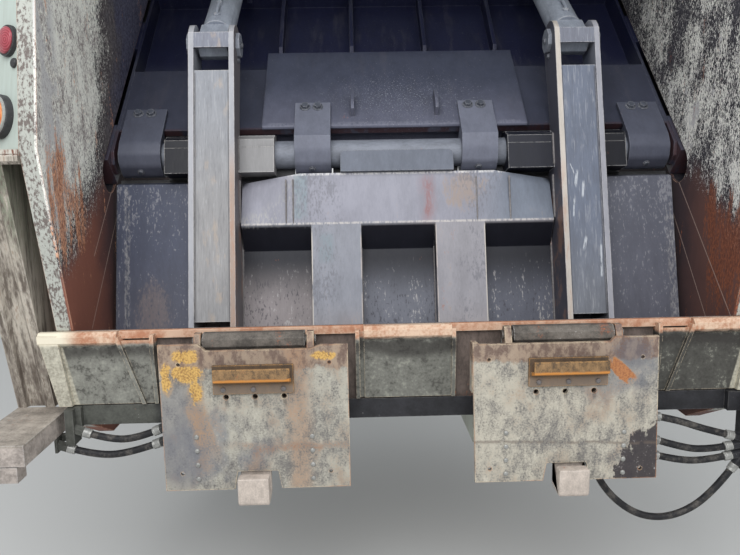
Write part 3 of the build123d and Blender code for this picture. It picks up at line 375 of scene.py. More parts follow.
def blade_marks(f, streak, fine):
    """Flecks on the wings and pockets, rubbed rims, teal and red paint remains."""
    u, v = f.blade_places()
    wide, broad = f.x.size(), f.noise(7, 4, 0.6)
    plane = (f.x, u)
    face = f.step(v, 0.04, 0.05)
    wing = f.step(wide, 0.712, 0.72)
    scrape = f.noise(150, 3, 0.62, (1, 0.4, 0.4))
    teal = (f.band(f.x, -0.365, -0.318, 0.006) * f.band(u, 0.07, 0.245, 0.01)).most(
        f.band(f.x, -0.28, -0.232, 0.01) * f.band(u, 0.3, 0.395, 0.014))
    yield teal * face * f.step(streak * 0.6 + fine * 0.4, 0.34, 0.6) * 0.6, (112, 134, 140)
    red = f.band(f.x + (streak - 0.5) * 0.06, 0.086, 0.128, 0.02) * f.band(u, 0.1, 0.25, 0.03)
    yield red * face * f.step(streak * 0.5 + fine * 0.5, 0.32, 0.62) * 0.75, (136, 84, 80)
    mottle = f.ball(on_blade(0.24, 0.15, 0.05), (0.1, 0.09, 0.1))
    yield f.step(mottle * 0.4 + streak + (fine - 0.5) * 0.7, 0.62, 0.9) * face * 0.6, (150, 130, 112)
    ends = f.step(wide, 0.3, 0.44) * face * f.step(f.x, 0.3, 0.2)
    yield f.step(scrape * 0.5 + broad * 0.5, 0.47, 0.6) * ends * 0.6, (176, 174, 166)
    yield f.step(scrape * 0.5 + broad * 0.5, 0.5, 0.4) * f.band(f.x.size(), 0.2, 0.37, 0.04) * face * 0.6, (104, 104,
        112)
    foot = f.step(u, 0.55, 0.76) * (1 - wing)
    yield f.step(streak * 0.6 + fine * 0.4 + foot * 0.1, 0.6, 0.66) * foot * 0.85, (186, 168, 146)
    yield f.step(broad + (fine - 0.5) * 0.4, 0.56, 0.66) * foot * 0.6, (122, 84, 66)
    right = f.step(f.x, 0.2, 0.4)
    crowd = 0.045 * (1 - f.step(u, 0.18, 0.42)) + 0.03 * f.step(wide, 0.93, 0.99) + right * 0.02
    yield f.step(scrape * 0.7 + streak * 0.3 + crowd * wing, 0.6, 0.65) * wing * 0.6, (150, 150, 156)
    rub = f.stroke(plane, (-0.962, 0.1), (-0.958, 0.84), 0.012).most(f.stroke(plane, (0.985, 0.2), (0.985, 0.84), 0.02))
    yield rub * f.step(scrape, 0.42, 0.6) * 0.5, (160, 158, 158)
    scuff = f.ball(on_blade(-0.87, 0.56, 0.01), (0.09, 0.14, 0.15))
    yield f.step(scuff * 0.35 + scrape * 0.6 + streak * 0.4, 0.62, 0.84) * 0.5, (128, 114, 110)
    middle = (1 - face) * (1 - wing) * f.step(u, 0.36, 0.52)
    yield f.step(scrape * 0.5 + streak * 0.5 + (broad - 0.5) * 0.3, 0.57, 0.62) * middle * 0.75, (172, 169, 168)
    yield f.step(scrape * 0.6 + streak * 0.4 + (broad - 0.5) * 0.3, 0.44, 0.39) * middle * 0.7, (58, 56, 64)
    for side in (-1, 1):
        for x in (side * 0.307, side * 0.131):
            rim = f.stroke(plane, (x, 0.265), (x, 0.78), 0.005)
            yield rim * face * f.step(streak, 0.36, 0.5) * 0.85, (206, 198, 188) if x * side > 0.2 else (188, 178, 172)
    for level, width, colour in ((0.084, 0.006, (212, 210, 208)), (0.26, 0.005, (196, 190, 186))):
        yield f.stroke(plane, (-0.56, level), (0.56, level), width) * face * f.step(fine, 0.38, 0.56) * 0.7, colour


def arm_tones(side):
    """Pale or slate cover between bright cheek edges, darker hub blocks at its sides."""
    def tones(f, streak, fine):
        u, v = f.blade_places()
        across = (f.x - side * ARM_X).size()
        inner_side = f.step((f.x - side * ARM_X) * -side, 0.0, 0.02)
        cover = f.fade(u, -0.3, 0.3, (134, 137, 144), (140, 139, 140)) if side < 0 else \
            f.fade(u, 0.2, 0.62, (102, 109, 125), (109, 112, 120))
        cover = f.fade(u, -0.335, -0.345, cover, (114, 117, 129))
        flank = (112, 107, 110) if side < 0 else (76, 76, 86)
        colour = f.fade(across, ARM_HALF - 0.0025, ARM_HALF - 0.0005, cover, flank)
        edge = f.band(across, ARM_HALF - CHEEK, ARM_HALF - 0.001, 0.001) * f.step(v, 0.05, 0.12)
        rear = f.mix(inner_side * f.step(u, -0.05, 0.15), (156, 157, 163), (160, 141, 130)) if side < 0 else \
            f.mix(inner_side, (152, 152, 160), (184, 176, 168))
        colour = f.mix(edge, colour, rear)
        hub = f.step(across, ARM_HALF + 0.001, ARM_HALF + 0.004)
        block = f.mix(inner_side, (8, 10, 22), (132, 131, 132) if side < 0 else (18, 20, 34))
        return f.mix(hub, colour, block)
    return tones


def arm_marks(side):
    def marks(f, streak, fine):
        u, v = f.blade_places()
        across = f.x - side * ARM_X
        inside = f.step(across.size(), ARM_HALF - CHEEK, ARM_HALF - CHEEK - 0.002) * f.step(v, 0.1, 0.12)
        hair = f.noise(260, 3, 0.6, (1, 0.07, 0.07), (radians(-13.5), 0, 0))
        yield f.step(hair + (streak - 0.5) * 0.4, 0.58, 0.66) * inside * 0.3, (176, 176, 178)
        yield f.step(hair + (streak - 0.5) * 0.4, 0.44, 0.34) * inside * 0.3, (92, 92, 100)
        seam = f.band(across.size(), ARM_HALF - CHEEK - 0.006, ARM_HALF - CHEEK, 0.0015)
        yield seam * f.step(v, 0.1, 0.125) * f.step(u, -0.262, -0.255) * 0.6, (74, 72, 76)
        if side > 0:
            plane = (across, u)
            for start, end, width in (((-0.02, 0.1), (-0.03, 0.17), 0.006), ((0.0, 0.14), (-0.006, 0.205), 0.005),
                                      ((-0.045, 0.08), (-0.03, 0.12), 0.002), ((0.002, 0.33), (-0.012, 0.39), 0.006),
                                      ((-0.035, 0.2), (-0.04, 0.27), 0.003), ((0.05, 0.36), (0.046, 0.48), 0.004)):
                yield f.stroke(plane, start, end, width) * f.step(fine, 0.34, 0.5) * 0.75, (196, 200, 206)
        else:
            stain = f.noise(14, 5, 0.6, (1, 0.4, 0.4))
            yield f.step(stain + f.step(u, 0.1, 0.6) * 0.06, 0.58, 0.68) * inside * 0.5, (176, 158, 140)
        rusty = f.band(across * side, -ARM_HALF - 0.002, -ARM_HALF + CHEEK, 0.001) * f.step(u, 0.02, 0.2)
        yield rusty * f.step(streak + (fine - 0.5) * 0.5, 0.48, 0.64) * 0.5, (162, 122, 100)
    return marks


def carriage_tones(f, streak, fine):
    """Smooth grey lower panel darkening upward, near black above and inside, as painted shade."""
    s, t = f.slide_places()
    # Painted shade: the panel darkens upward and turns near black above.
    panel = f.fade(s, 0.05, 0.35, (90, 92, 108), (61, 65, 81))
    panel = f.fade(f.x.size(), 0.47, 0.486, panel, (56, 59, 74))
    return f.fade(s, 0.44, 0.6, panel, (27, 30, 58))


def carriage_marks(f, streak, fine):
    s, t = f.slide_places()
    below = f.step(s, 0.09, 0.078) * f.step(t, 0.066, 0.05)
    yield below * f.step(streak, 0.36, 0.54) * 0.8, (74, 46, 46)
    plane = (f.x, s)
    # Painted highlight: a faint pale line along the raised panel's lower edge.
    rim = f.stroke(plane, (-0.47, 0.078), (0.47, 0.078), 0.01)
    yield rim * f.step(t, 0.06, 0.072) * f.step(fine, 0.36, 0.6) * 0.3, (130, 132, 144)
    centre = f.ball(on_slide(0.03, 0.22, 0.077), (0.42, 0.2, 0.2))
    grit = f.noise(240, 3, 0.66)
    yield f.step(grit + centre * 0.1, 0.69, 0.74) * 0.7, (176, 178, 184)
    yield f.step(f.noise(24, 5, 0.6, (1, 0.2, 0.2)) + (grit - 0.5) * 0.3, 0.52, 0.72) * 0.25, (84, 82, 90)


def sill_steel():
    """Rolled lip rubbed to orange rust, olive-grey mottled faces below it, with painted shade just under the roll."""
    f = Finish("sill_steel", metallic=0.1, specular=0.35)
    h, wide = f.height, f.x.size()
    broad = f.noise(6, 3, 0.5)
    blot = f.noise(24, 6, 0.68)
    fine = f.noise(110, 4, 0.66)
    f.colour = f.fade(blot * 0.6 + fine * 0.4, 0.34, 0.66, (107, 106, 100), (147, 147, 139))
    f.colour = f.fade(wide, 0.5, 0.7, f.shaded(f.colour, 0.74), f.colour)
    f.over(f.step(f.x, 0.6, 0.8) * 0.75, (42, 40, 38))
    f.over(f.step(blot + (fine - 0.5) * 0.9, 0.6, 0.74) * 0.5, (156, 156, 144))
    f.over(f.step(blot + (fine - 0.5) * 0.9, 0.42, 0.32) * 0.5, (62, 60, 57))
    # Painted shade: a dark band just under the rolled lip.
    under = f.step(h + (blot - 0.5) * 0.06, 1.022, 1.008) * f.step(h + (broad - 0.5) * 0.08, 0.955, 0.99)
    f.over(under * 0.75, (50, 47, 45))
    end = f.step(wide + (h - 1.05) * -0.18, 1.048, 1.054) * f.step(f.y, -1.765, -1.772)
    f.over(end, f.fade(blot * 0.4 + fine * 0.6, 0.36, 0.62, (148, 143, 130), (196, 192, 176)))
    face = f.colour
    f.colour = f.fade(blot * 0.5 + fine * 0.5 + (broad - 0.5) * 0.5, 0.34, 0.62, (178, 126, 98), (216, 188, 164))
    inner = f.step(f.y, -1.779, -1.772)
    f.over(inner * f.step(fine, 0.32, 0.6), (186, 118, 86))
    f.over(f.step(-f.x, 0.98, 1.05) * 0.9, (232, 226, 206))
    f.over(f.step(f.x, 1.04, 1.062) * 0.9, (206, 202, 182))
    roll = f.step(h + (blot - 0.5) * 0.02, 1.018, 1.03)
    f.colour = f.mix(roll, face, f.colour)
    f.over(f.edges(0.004) * f.step(fine, 0.36, 0.55) * 0.7, (204, 188, 164))
    return f.done(f.colour, 0.68, blot * 0.6 + fine * 0.4, 0.0012)


def tipper_steel(name, side):
    """Worn plate: pale scuffs over blue-grey, brown stains, rust bands and remains of yellow paint."""
    f = Finish(name, metallic=0.1, specular=0.35)
    h, across = f.height, f.x - side * TIPPER_X
    plane = (across, h)

    def patch(x, height, half_width, half_height):
        return f.ball((x, PLATE_Y - 0.01, up(height)), (half_width, 0.2, half_height))

    broad = f.noise(5.5, 4, 0.6, shift=(side * 2.0, 0, 0))
    streak = f.noise(34, 6, 0.68, (1, 1, 0.55), shift=(side * 4.0, 0, 0))
    fine = f.noise(170, 3, 0.66)
    stain = f.noise(10, 6, 0.66, (1, 1, 0.7), shift=(side * 7.0, 0, 0))
    grit, torn = streak * 0.5 + fine * 0.5, streak + (fine - 0.5) * 0.5
    pale = (176, 172, 160) if side < 0 else (186, 180, 166)
    f.colour = f.fade(streak * 0.6 + fine * 0.4 + (broad - 0.5) * 0.35, 0.36, 0.6, (116, 113, 110), pale)
    blue = patch(-0.599, 0.72, 0.24, 0.16) if side < 0 else patch(0.629, 0.97, 0.24, 0.16)
    f.over(f.step(blue * 0.35 + stain + (fine - 0.5) * 0.4, 0.62, 0.86) * 0.6, (116, 120, 128))
    f.over(f.step(streak * 0.4 + fine * 0.6, 0.56, 0.66) * 0.6, (208, 205, 195))
    f.over(f.step(streak * 0.4 + fine * 0.6, 0.44, 0.36) * 0.5, (88, 84, 82))
    f.over(f.step(stain + (fine - 0.5) * 0.5 + (streak - 0.5) * 0.4, 0.5, 0.74) * 0.55, (152, 124, 102))
    ragged = (streak - 0.5) * 0.05 + (stain - 0.5) * 0.07
    band = f.step(h + ragged, 0.958, 0.968)
    f.over(band * 0.75, f.fade(streak, 0.42, 0.58, (110, 84, 72), (156, 132, 112)))
    tear = (streak - 0.5) * 1.9 + (stain - 0.5) * 1.4 + (fine - 0.5) * 0.4
    mustard = f.fade(fine + (streak - 0.5) * 0.5, 0.36, 0.6, (158, 118, 66), (212, 172, 98))
    if side < 0:
        yellow = patch(-0.655, 0.947, 0.066, 0.036)
        for share, *place in ((0.85, -0.713, 0.934, 0.024, 0.06), (0.9, -0.631, 0.898, 0.028, 0.052),
                              (0.95, -0.655, 1.003, 0.05, 0.028), (0.85, -0.255, 0.997, 0.042, 0.019)):
            yellow = yellow.most(patch(*place) * share)
        cool = patch(-0.69, 0.76, 0.11, 0.2)
        f.over(f.step(cool * 0.5 + streak * 0.4 + fine * 0.4, 0.46, 0.74) * 0.6, (112, 112, 118))
        buff = f.stroke((across + ragged, h), (-0.19, 0.93), (-0.125, 0.64), 0.042)
        f.over(buff * f.step(grit, 0.36, 0.6) * 0.75, (168, 136, 106))
        rusty = f.band(across + ragged, 0.096, 0.16, 0.02)
        f.over(rusty * f.step(grit, 0.36, 0.6) * 0.65, (162, 128, 102))
        line = f.band(h + ragged * 0.9 - across * 0.02, 0.71, 0.73, 0.01) * f.step(across, -0.12, -0.02)
        f.over(line * f.step(grit, 0.42, 0.58) * 0.6, (140, 100, 76))
    else:
        yellow = f.stroke((across + ragged * 0.5, h), (0.105, 0.985), (0.225, 0.88), 0.026) * 0.9
        cool = patch(0.66, 0.985, 0.09, 0.07)
        f.over(f.step(cool * 0.45 + (streak - 0.5) * 0.8 + (fine - 0.5) * 0.5, 0.2, 0.34) * 0.5, (96, 96, 104))
        tar = f.step(across * 0.9 - (h - 0.66) * 0.5 + (stain - 0.5) * 0.24 + (streak - 0.5) * 0.1, 0.17, 0.178)
        tar = tar * f.step(h + (stain - 0.5) * 0.2 + (streak - 0.5) * 0.06, 0.765, 0.755) * f.step(across, 0.1, 0.14)
        dry = f.fade(fine + (streak - 0.5) * 0.8, 0.62, 0.72, (56, 51, 55), (140, 136, 136))
        f.over(tar * 0.95, dry)
        crease = f.band(h + ragged * 0.3 + across * 0.03, 0.706, 0.714, 0.004)
        f.over(crease * f.step(streak, 0.38, 0.5) * 0.6, (104, 92, 84))
    f.over(f.step(yellow, 0.0, 0.5) * f.step(torn, 0.36, 0.58) * 0.6, (178, 144, 104))
    f.over(f.step(yellow + tear * 1.3, 0.36, 0.6) * f.step(yellow, 0.02, 0.3) * 0.9,
        f.fade(fine, 0.4, 0.55, (150, 92, 56), (178, 118, 72)) if side > 0 else mustard)
    for x in (-0.085, 0, 0.086):
        drip = f.stroke(plane, (x, 0.882), (x + 0.004, 0.837), 0.007)
        f.over(drip * f.step(fine, 0.3, 0.55) * 0.6, (60, 56, 54))
    f.over(f.edges(0.006) * f.step(torn, 0.36, 0.5) * 0.8,
        f.fade(broad, 0.45, 0.55, (212, 196, 168), (186, 134, 98)))
    return f.done(f.colour, 0.64 + fine * 0.1, grit, 0.0012)


def weathered_post():
    """Bare grey-brown corner post: long streaks that run down the folds."""
    f = Finish("weathered_post", metallic=0.06, specular=0.3)
    lean = (radians(-8), 0, 0)
    long_grain = f.noise(46, 7, 0.68, (1.2, 0.8, 0.05), lean)
    broad = f.noise(3.4, 3, 0.55)
    fine = f.noise(170, 3, 0.6, (1, 1, 0.18), lean)
    f.colour = f.fade(long_grain + (broad - 0.5) * 0.5 + (fine - 0.5) * 0.3, 0.34, 0.62, (104, 95, 87), (192, 184, 172))
    f.over(f.step(long_grain + (fine - 0.5) * 0.5, 0.6, 0.7) * 0.5, (124, 92, 72))
    moss = f.band(f.x.size(), 1.118, 1.152, 0.006) * f.step(f.height + (broad - 0.5) * 0.4, 1.22, 1.4)
    f.over(moss * f.step(fine, 0.36, 0.56) * 0.6, (118, 128, 108))
    low = f.step(f.height + (long_grain - 0.5) * 0.3, 1.06, 0.96)
    f.over(low * f.step(fine, 0.4, 0.6) * 0.55, (84, 70, 64))
    ledge = f.step(f.height, 1.583, 1.588)
    f.over(ledge, f.fade(fine, 0.36, 0.6, (120, 76, 62), (196, 192, 182)))
    f.over(f.edges() * f.step(fine, 0.34, 0.5) * 0.6, (192, 184, 172))
    return f.done(f.colour, 0.76, long_grain * 0.7 + fine * 0.3, 0.0012)


def pale_cover(name, shaded_within=False):
    """Sound pale paint outside, chipped at edges, with grime runs; painted shade within the slide's cover."""
    f = Finish(name, specular=0.4)
    run = f.noise(22, 5, 0.62, (1, 1, 0.1))
    chip = f.noise(70, 5, 0.72)
    broad = f.noise(3, 4, 0.55)
    paint = f.mix(f.step(run + (broad - 0.5) * 0.6, 0.42, 0.7) * 0.4, PALE_PAINT, (150, 146, 130))
    bare = f.step(chip + f.edges(0.008) * 0.2 + (broad - 0.5) * 0.2, 0.692, 0.712)
    paint = f.mix(bare, paint, f.fade(chip, 0.45, 0.65, (52, 48, 50), (140, 92, 66)))
    if shaded_within:
        # Painted shade: dark inside the slide track's cover.
        within = f.step(f.slide_places()[1].size(), 0.1075, 0.1065) * f.step(f.x.size(), 1.182, 1.18)
        paint = f.mix(within, paint, f.fade(chip, 0.4, 0.6, SLOT_SHADE, (58, 54, 56)))
    return f.done(paint, 0.46 + bare * 0.3, chip * 0.4 + run * 0.6 - bare * 0.5, 0.0006)


def pillar_paint():
    """Clean pale paint on the lamp pillar, scuffed and chipped white on the flange beside it."""
    f = Finish("pillar_paint", specular=0.4)
    chip = f.noise(60, 5, 0.72, (1, 1, 0.6))
    run = f.noise(26, 4, 0.6, (1, 1, 0.1))
    inner = f.step(f.x.size(), 1.075, 1.068)
    paint = f.mix(f.step(run, 0.42, 0.66) * 0.3, (188, 199, 192), (158, 162, 150))
    paint = f.mix(inner, paint, (206, 206, 199))
    bare = f.step(chip + inner * 0.13 + f.edges(0.005) * 0.05, 0.7, 0.73)
    paint = f.mix(bare, paint, f.fade(chip, 0.66, 0.74, (120, 104, 90), (62, 58, 58)))
    return f.done(paint, 0.42 + bare * 0.3, run * 0.5 + chip * 0.3 - bare * 0.6, 0.0005)


def chrome_rod():
    f = Finish("rod_chrome", metallic=0.9, specular=0.5)
    film = f.noise(30, 5, 0.6)
    return f.done(f.mix(f.step(film, 0.45, 0.7) * 0.6, (192, 194, 198), (104, 96, 90)), 0.22 + film * 0.3,
                  film, 0.0002)


def lens(name, deep, bright, centre, dust_tone):
    """Moulded lamp lens: fine rings under a dusty skin."""
    f = Finish(name, specular=0.5, coat=0.4, coat_roughness=0.15)
    dust = f.noise(44, 5, 0.6)
    dx, dz = f.x.size() - centre[0], f.height - centre[1]
    radius = (dx * dx * 1.5 + dz * dz).root()
    ring = (radius * 900).sine()
    colour = f.mix(0.45 + ring * 0.25 + (dust - 0.5) * 0.6, deep, bright)
    colour = f.mix(f.step(dust, 0.5, 0.72) * 0.55, colour, dust_tone)
    return f.done(colour, 0.3 + dust * 0.25, ring * 0.5 + dust * 0.3, 0.0008)


def rubber():
    f = Finish("hose_rubber")
    dust = f.noise(26, 5, 0.6)
    fine = f.noise(180, 3, 0.6)
    colour = f.fade(dust + (fine - 0.5) * 0.4, 0.44, 0.7, (30, 30, 33), (84, 80, 76))
    return f.done(colour, 0.6, dust * 0.5 + fine * 0.5, 0.0005)


def catch_marks(f, streak, fine):
    """Orange rim under the lip, grime streaks on it, painted shadow on the plate behind it."""
    h = f.height
    out = f.step(f.y, -1.893, -1.898)
    yield out * f.step(streak * 0.6 + fine * 0.4, 0.5, 0.4) * 0.7, (84, 70, 58)
    yield out * f.step(h + (streak - 0.5) * 0.012, 0.944, 0.938) * 0.85, (206, 136, 62)
    # Painted shadow: dark on the plate behind and under the lip.
    yield (1 - out) * f.step(h, 0.905, 0.925) * 0.7, (58, 52, 50)
    yield (1 - out) * f.step(h + (streak - 0.5) * 0.02, 0.922, 0.908) * 0.8, (124, 112, 102)


finish = {
    "wall_left": wall_paint("wall_paint_left", -1),
    "wall_right": wall_paint("wall_paint_right", 1),
    "cover": pale_cover("pale_cover"),
    # The track's cover gets painted shade inside.
    "track": pale_cover("track_paint", shaded_within=True),
    "pillar": pillar_paint(),
    "sill": sill_steel(),
    "tipper_left": tipper_steel("tipper_steel_left", -1),
    "tipper_right": tipper_steel("tipper_steel_right", 1),
    "catch": steel("catch_steel", (134, 106, 74), 0.5, (1, 1, 0.6), 60, rust=0.5, seed=4.0, edge=(204, 152, 88),
                   marks=catch_marks, roughness=0.6),
    "hook": steel("hook_steel", (192, 180, 170), 0.25, (1, 1, 0.7), 40, rust=0.35, seed=6.0, edge=(214, 206, 196)),
    "blade": steel("blade_steel", blade_tones, 0.13, (1, 0.45, 0.3), 26, rust=0.06, seed=1.0, edge_share=0.3,
                   marks=blade_marks, roughness=0.5),
    "arm_left": steel("arm_steel_left", arm_tones(-1), 0.12, (1, 0.3, 0.18), 40, rust=0.05, seed=2.0,
                      edge=(206, 202, 198), edge_share=0.6, marks=arm_marks(-1), roughness=0.5),
    "arm_right": steel("arm_steel_right", arm_tones(1), 0.14, (1, 0.3, 0.18), 40, rust=0.05, seed=2.6,
                       edge=(206, 204, 202), edge_share=0.6, marks=arm_marks(1), roughness=0.5),
    "guard": steel("guard_steel", (99, 104, 116), 0.14, (1, 0.4, 0.4), 40, flecks=0.04, rust=0.03, seed=7.0,
                   edge_share=0.4),
    "hub": steel("shaft_steel", (118, 122, 132), 0.26, (0.4, 1, 1), 30, rust=0.12, seed=3.0, edge_share=0.4),
    "cap": steel("cap_steel", lambda f, s, d: f.fade(f.x.size(), 0.5, 0.6, (105, 108, 122), (80, 83, 97)),
                 0.13, (1, 0.5, 0.5), 26, flecks=0.05, rust=0.03, seed=8.0, edge=(150, 152, 160), edge_share=0.4,
                 roughness=0.48),
    # The carriage's near black upper part is painted shade.
    "carriage": steel("carriage_steel_painted_shade", carriage_tones, 0.14, (1, 0.6, 0.6), 22, rust=0.02, seed=9.0,
                      edge=(116, 118, 128), edge_share=0.35, marks=carriage_marks, roughness=0.5),
    "bolt": steel("bolt_steel", (70, 74, 84), 0.4, (1, 1, 1), 60, rust=0.2, seed=9.5, edge=(150, 150, 154)),
    "silver": steel("zinc_steel", (150, 150, 147), 0.3, (1, 1, 1), 80, rust=0.25, seed=14.0, metallic=0.35,
                    edge=(226, 224, 218), roughness=0.42),
    "cylinder": steel("cylinder_paint", (142, 148, 160), 0.22, (1, 0.4, 0.4), 30, flecks=0.2, rust=0.12, seed=10.0),
    "chrome": chrome_rod(),
    "step": steel("step_steel", lambda f, s, d: f.fade(f.height, 0.792, 0.798, (172, 162, 155), (162, 153, 143)),
                  0.42, (1, 1, 1), 26, flecks=0.35, fleck=(206, 198, 190), rust=0.35, seed=11.0, roughness=0.7),
    "mount": steel("mount_steel", (96, 90, 84), 0.5, (1, 1, 1), 40, flecks=0.2, rust=0.6, seed=15.0, roughness=0.66),
    "weld": steel("weld_metal", (120, 116, 116), 0.3, (1, 1, 1), 90, rust=0.25, seed=16.0, edge_share=0.0,
                  metallic=0.2),
    "dark_rubber": steel("lamp_rim", (58, 58, 60), 0.3, (1, 1, 1), 60, rust=0.0, flecks=0.1, seed=17.0, edge_share=0.3,
                         edge=(120, 120, 118), metallic=0.0),
    "bezel": steel("lamp_bezel", (158, 160, 156), 0.3, (1, 1, 1), 60, rust=0.05, flecks=0.1, seed=18.0,
                   edge_share=0.3, metallic=0.0),
    "post": weathered_post(),
    "floor_plate": steel("trough_steel", (104, 92, 86), 0.4, (1, 1, 0.5), 30, flecks=0.3, rust=0.55, seed=12.0),
    "under": steel("chassis_black", lambda f, s, d: f.fade(f.x, -0.8, -0.74, (76, 77, 72), (40, 40, 44)),
                   0.4, (1, 1, 1), 24, flecks=0.15, rust=0.12, seed=13.0, edge=(120, 118, 116), edge_share=0.4),
    "red_lens": lens("lamp_red", (128, 30, 42), (196, 92, 104), (1.112, 1.904), (176, 132, 132)),
    "orange_lens": lens("lamp_orange", (196, 98, 42), (240, 166, 96), (1.148, 1.696), (214, 160, 120)),
    "rubber": rubber(),
}


# Mesh code


def break_edges(mesh, width, segments=2, clamp=False, chosen=None):
    """Rounds the sharp corners, or the chosen ones."""
    if chosen is None:
        chosen = [e for e in mesh.edges if len(e.link_faces) == 2 and e.calc_face_angle(0.0) > radians(30)
                  and e.calc_length() > width]
    bmesh.ops.bevel(mesh, geom=chosen, offset=width, offset_type="OFFSET", segments=segments, profile=0.5,
                    affect="EDGES", clamp_overlap=clamp, material=-1)


def in_order(mesh, data):
    """Writes vertices and faces sorted by place, because a bevel leaves them in a different order each run."""
    mesh.verts.index_update()
    verts = sorted(mesh.verts, key=lambda v: tuple(round(c, 6) for c in v.co))
    place = {v.index: k for k, v in enumerate(verts)}
    faces = []
    for face in mesh.faces:
        corners = [place[v.index] for v in face.verts]
        first = corners.index(min(corners))
        faces.append(corners[first:] + corners[:first])
    data.from_pydata([tuple(v.co) for v in verts], [], sorted(faces))


def settle(mesh, name, body, key, slot, stands_for=()):
    """Makes a piece of a mesh under construction, riding on a body."""
    data = bpy.data.meshes.new(name)
    bmesh.ops.recalc_face_normals(mesh, faces=mesh.faces)
    in_order(mesh, data)
    mesh.free()
    data.shade_smooth()
    data.set_sharp_from_angle(angle=radians(40))
    data.materials.append(finish[key])
    piece = bpy.data.objects.new(name, data)
    bpy.context.scene.collection.objects.link(piece)
    even = piece.modifiers.new("even_normals", "WEIGHTED_NORMAL")
    even.keep_sharp = True
    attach(piece, body)
    if stands_for:
        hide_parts(*stands_for)
    return piece


def both(table):
    """A table in which a name with a star stands for the left and the right one."""
    return {name.replace("*", side): value.replace("*", side) if isinstance(value, str) else value
            for name, value in table.items() for side in (("left", "right") if "*" in name else ("",))}


def beside(axis, low, high):
    """Picks the corners along x at a distance from an axis (y, z)."""
    def pick(edge):
        a, b = (v.co for v in edge.verts)
        return (abs(a.x - b.x) > 0.8 * edge.calc_length() and edge.calc_face_angle(0.0) > radians(12)
                and all(low < hypot(p.y - axis[0], p.z - axis[1]) < high for p in (a, b)))
    return pick


def pierced(data, holes):
    """A copy of a mesh with round holes along y through its plate: x, z and radius of each."""
    cutter = Shape()
    for x, z, radius in holes:
        cutter.turned((x, PLATE_REAR_Y - 0.006, z), -REARWARD, [(0, radius), (0.024, radius)], 16)
    bmesh.ops.recalc_face_normals(cutter.mesh, faces=cutter.mesh.faces)
    tool_data = bpy.data.meshes.new("hole_tool")
    cutter.mesh.to_mesh(tool_data)
    cutter.mesh.free()
    pair = [bpy.data.objects.new(name, mesh) for name, mesh in (("hole_tool", tool_data), ("hole_plate", data.copy()))]
    for item in pair:
        bpy.context.scene.collection.objects.link(item)
    cut = pair[1].modifiers.new("holes", "BOOLEAN")
    cut.operation, cut.solver, cut.object = "DIFFERENCE", "EXACT", pair[0]
    seen = pair[1].evaluated_get(bpy.context.evaluated_depsgraph_get())
    made = bpy.data.meshes.new_from_object(seen)
    for item in pair:
        bpy.data.objects.remove(item)
    return made


def dressed(node, key, width, rounds, merge, clamp, holes):
    """A copy of a CAD node in its place, with its facets merged and its corners rounded."""
    mesh = bmesh.new()
    mesh.from_mesh(pierced(nodes[node].data, holes) if holes else nodes[node].data)
    bmesh.ops.remove_doubles(mesh, verts=mesh.verts, dist=0.00002)
    if merge:
        bmesh.ops.dissolve_limit(mesh, angle_limit=radians(0.6), verts=mesh.verts, edges=mesh.edges)
    for pick, offset, segments in rounds:
        chosen = [e for e in mesh.edges if len(e.link_faces) == 2 and pick(e)]
        if chosen:
            break_edges(mesh, offset, segments, clamp=True, chosen=chosen)
    break_edges(mesh, width, clamp=clamp)
    return settle(mesh, f"{node}_dressed", body_of(nodes[node])[0], key, slots[node], (node,))


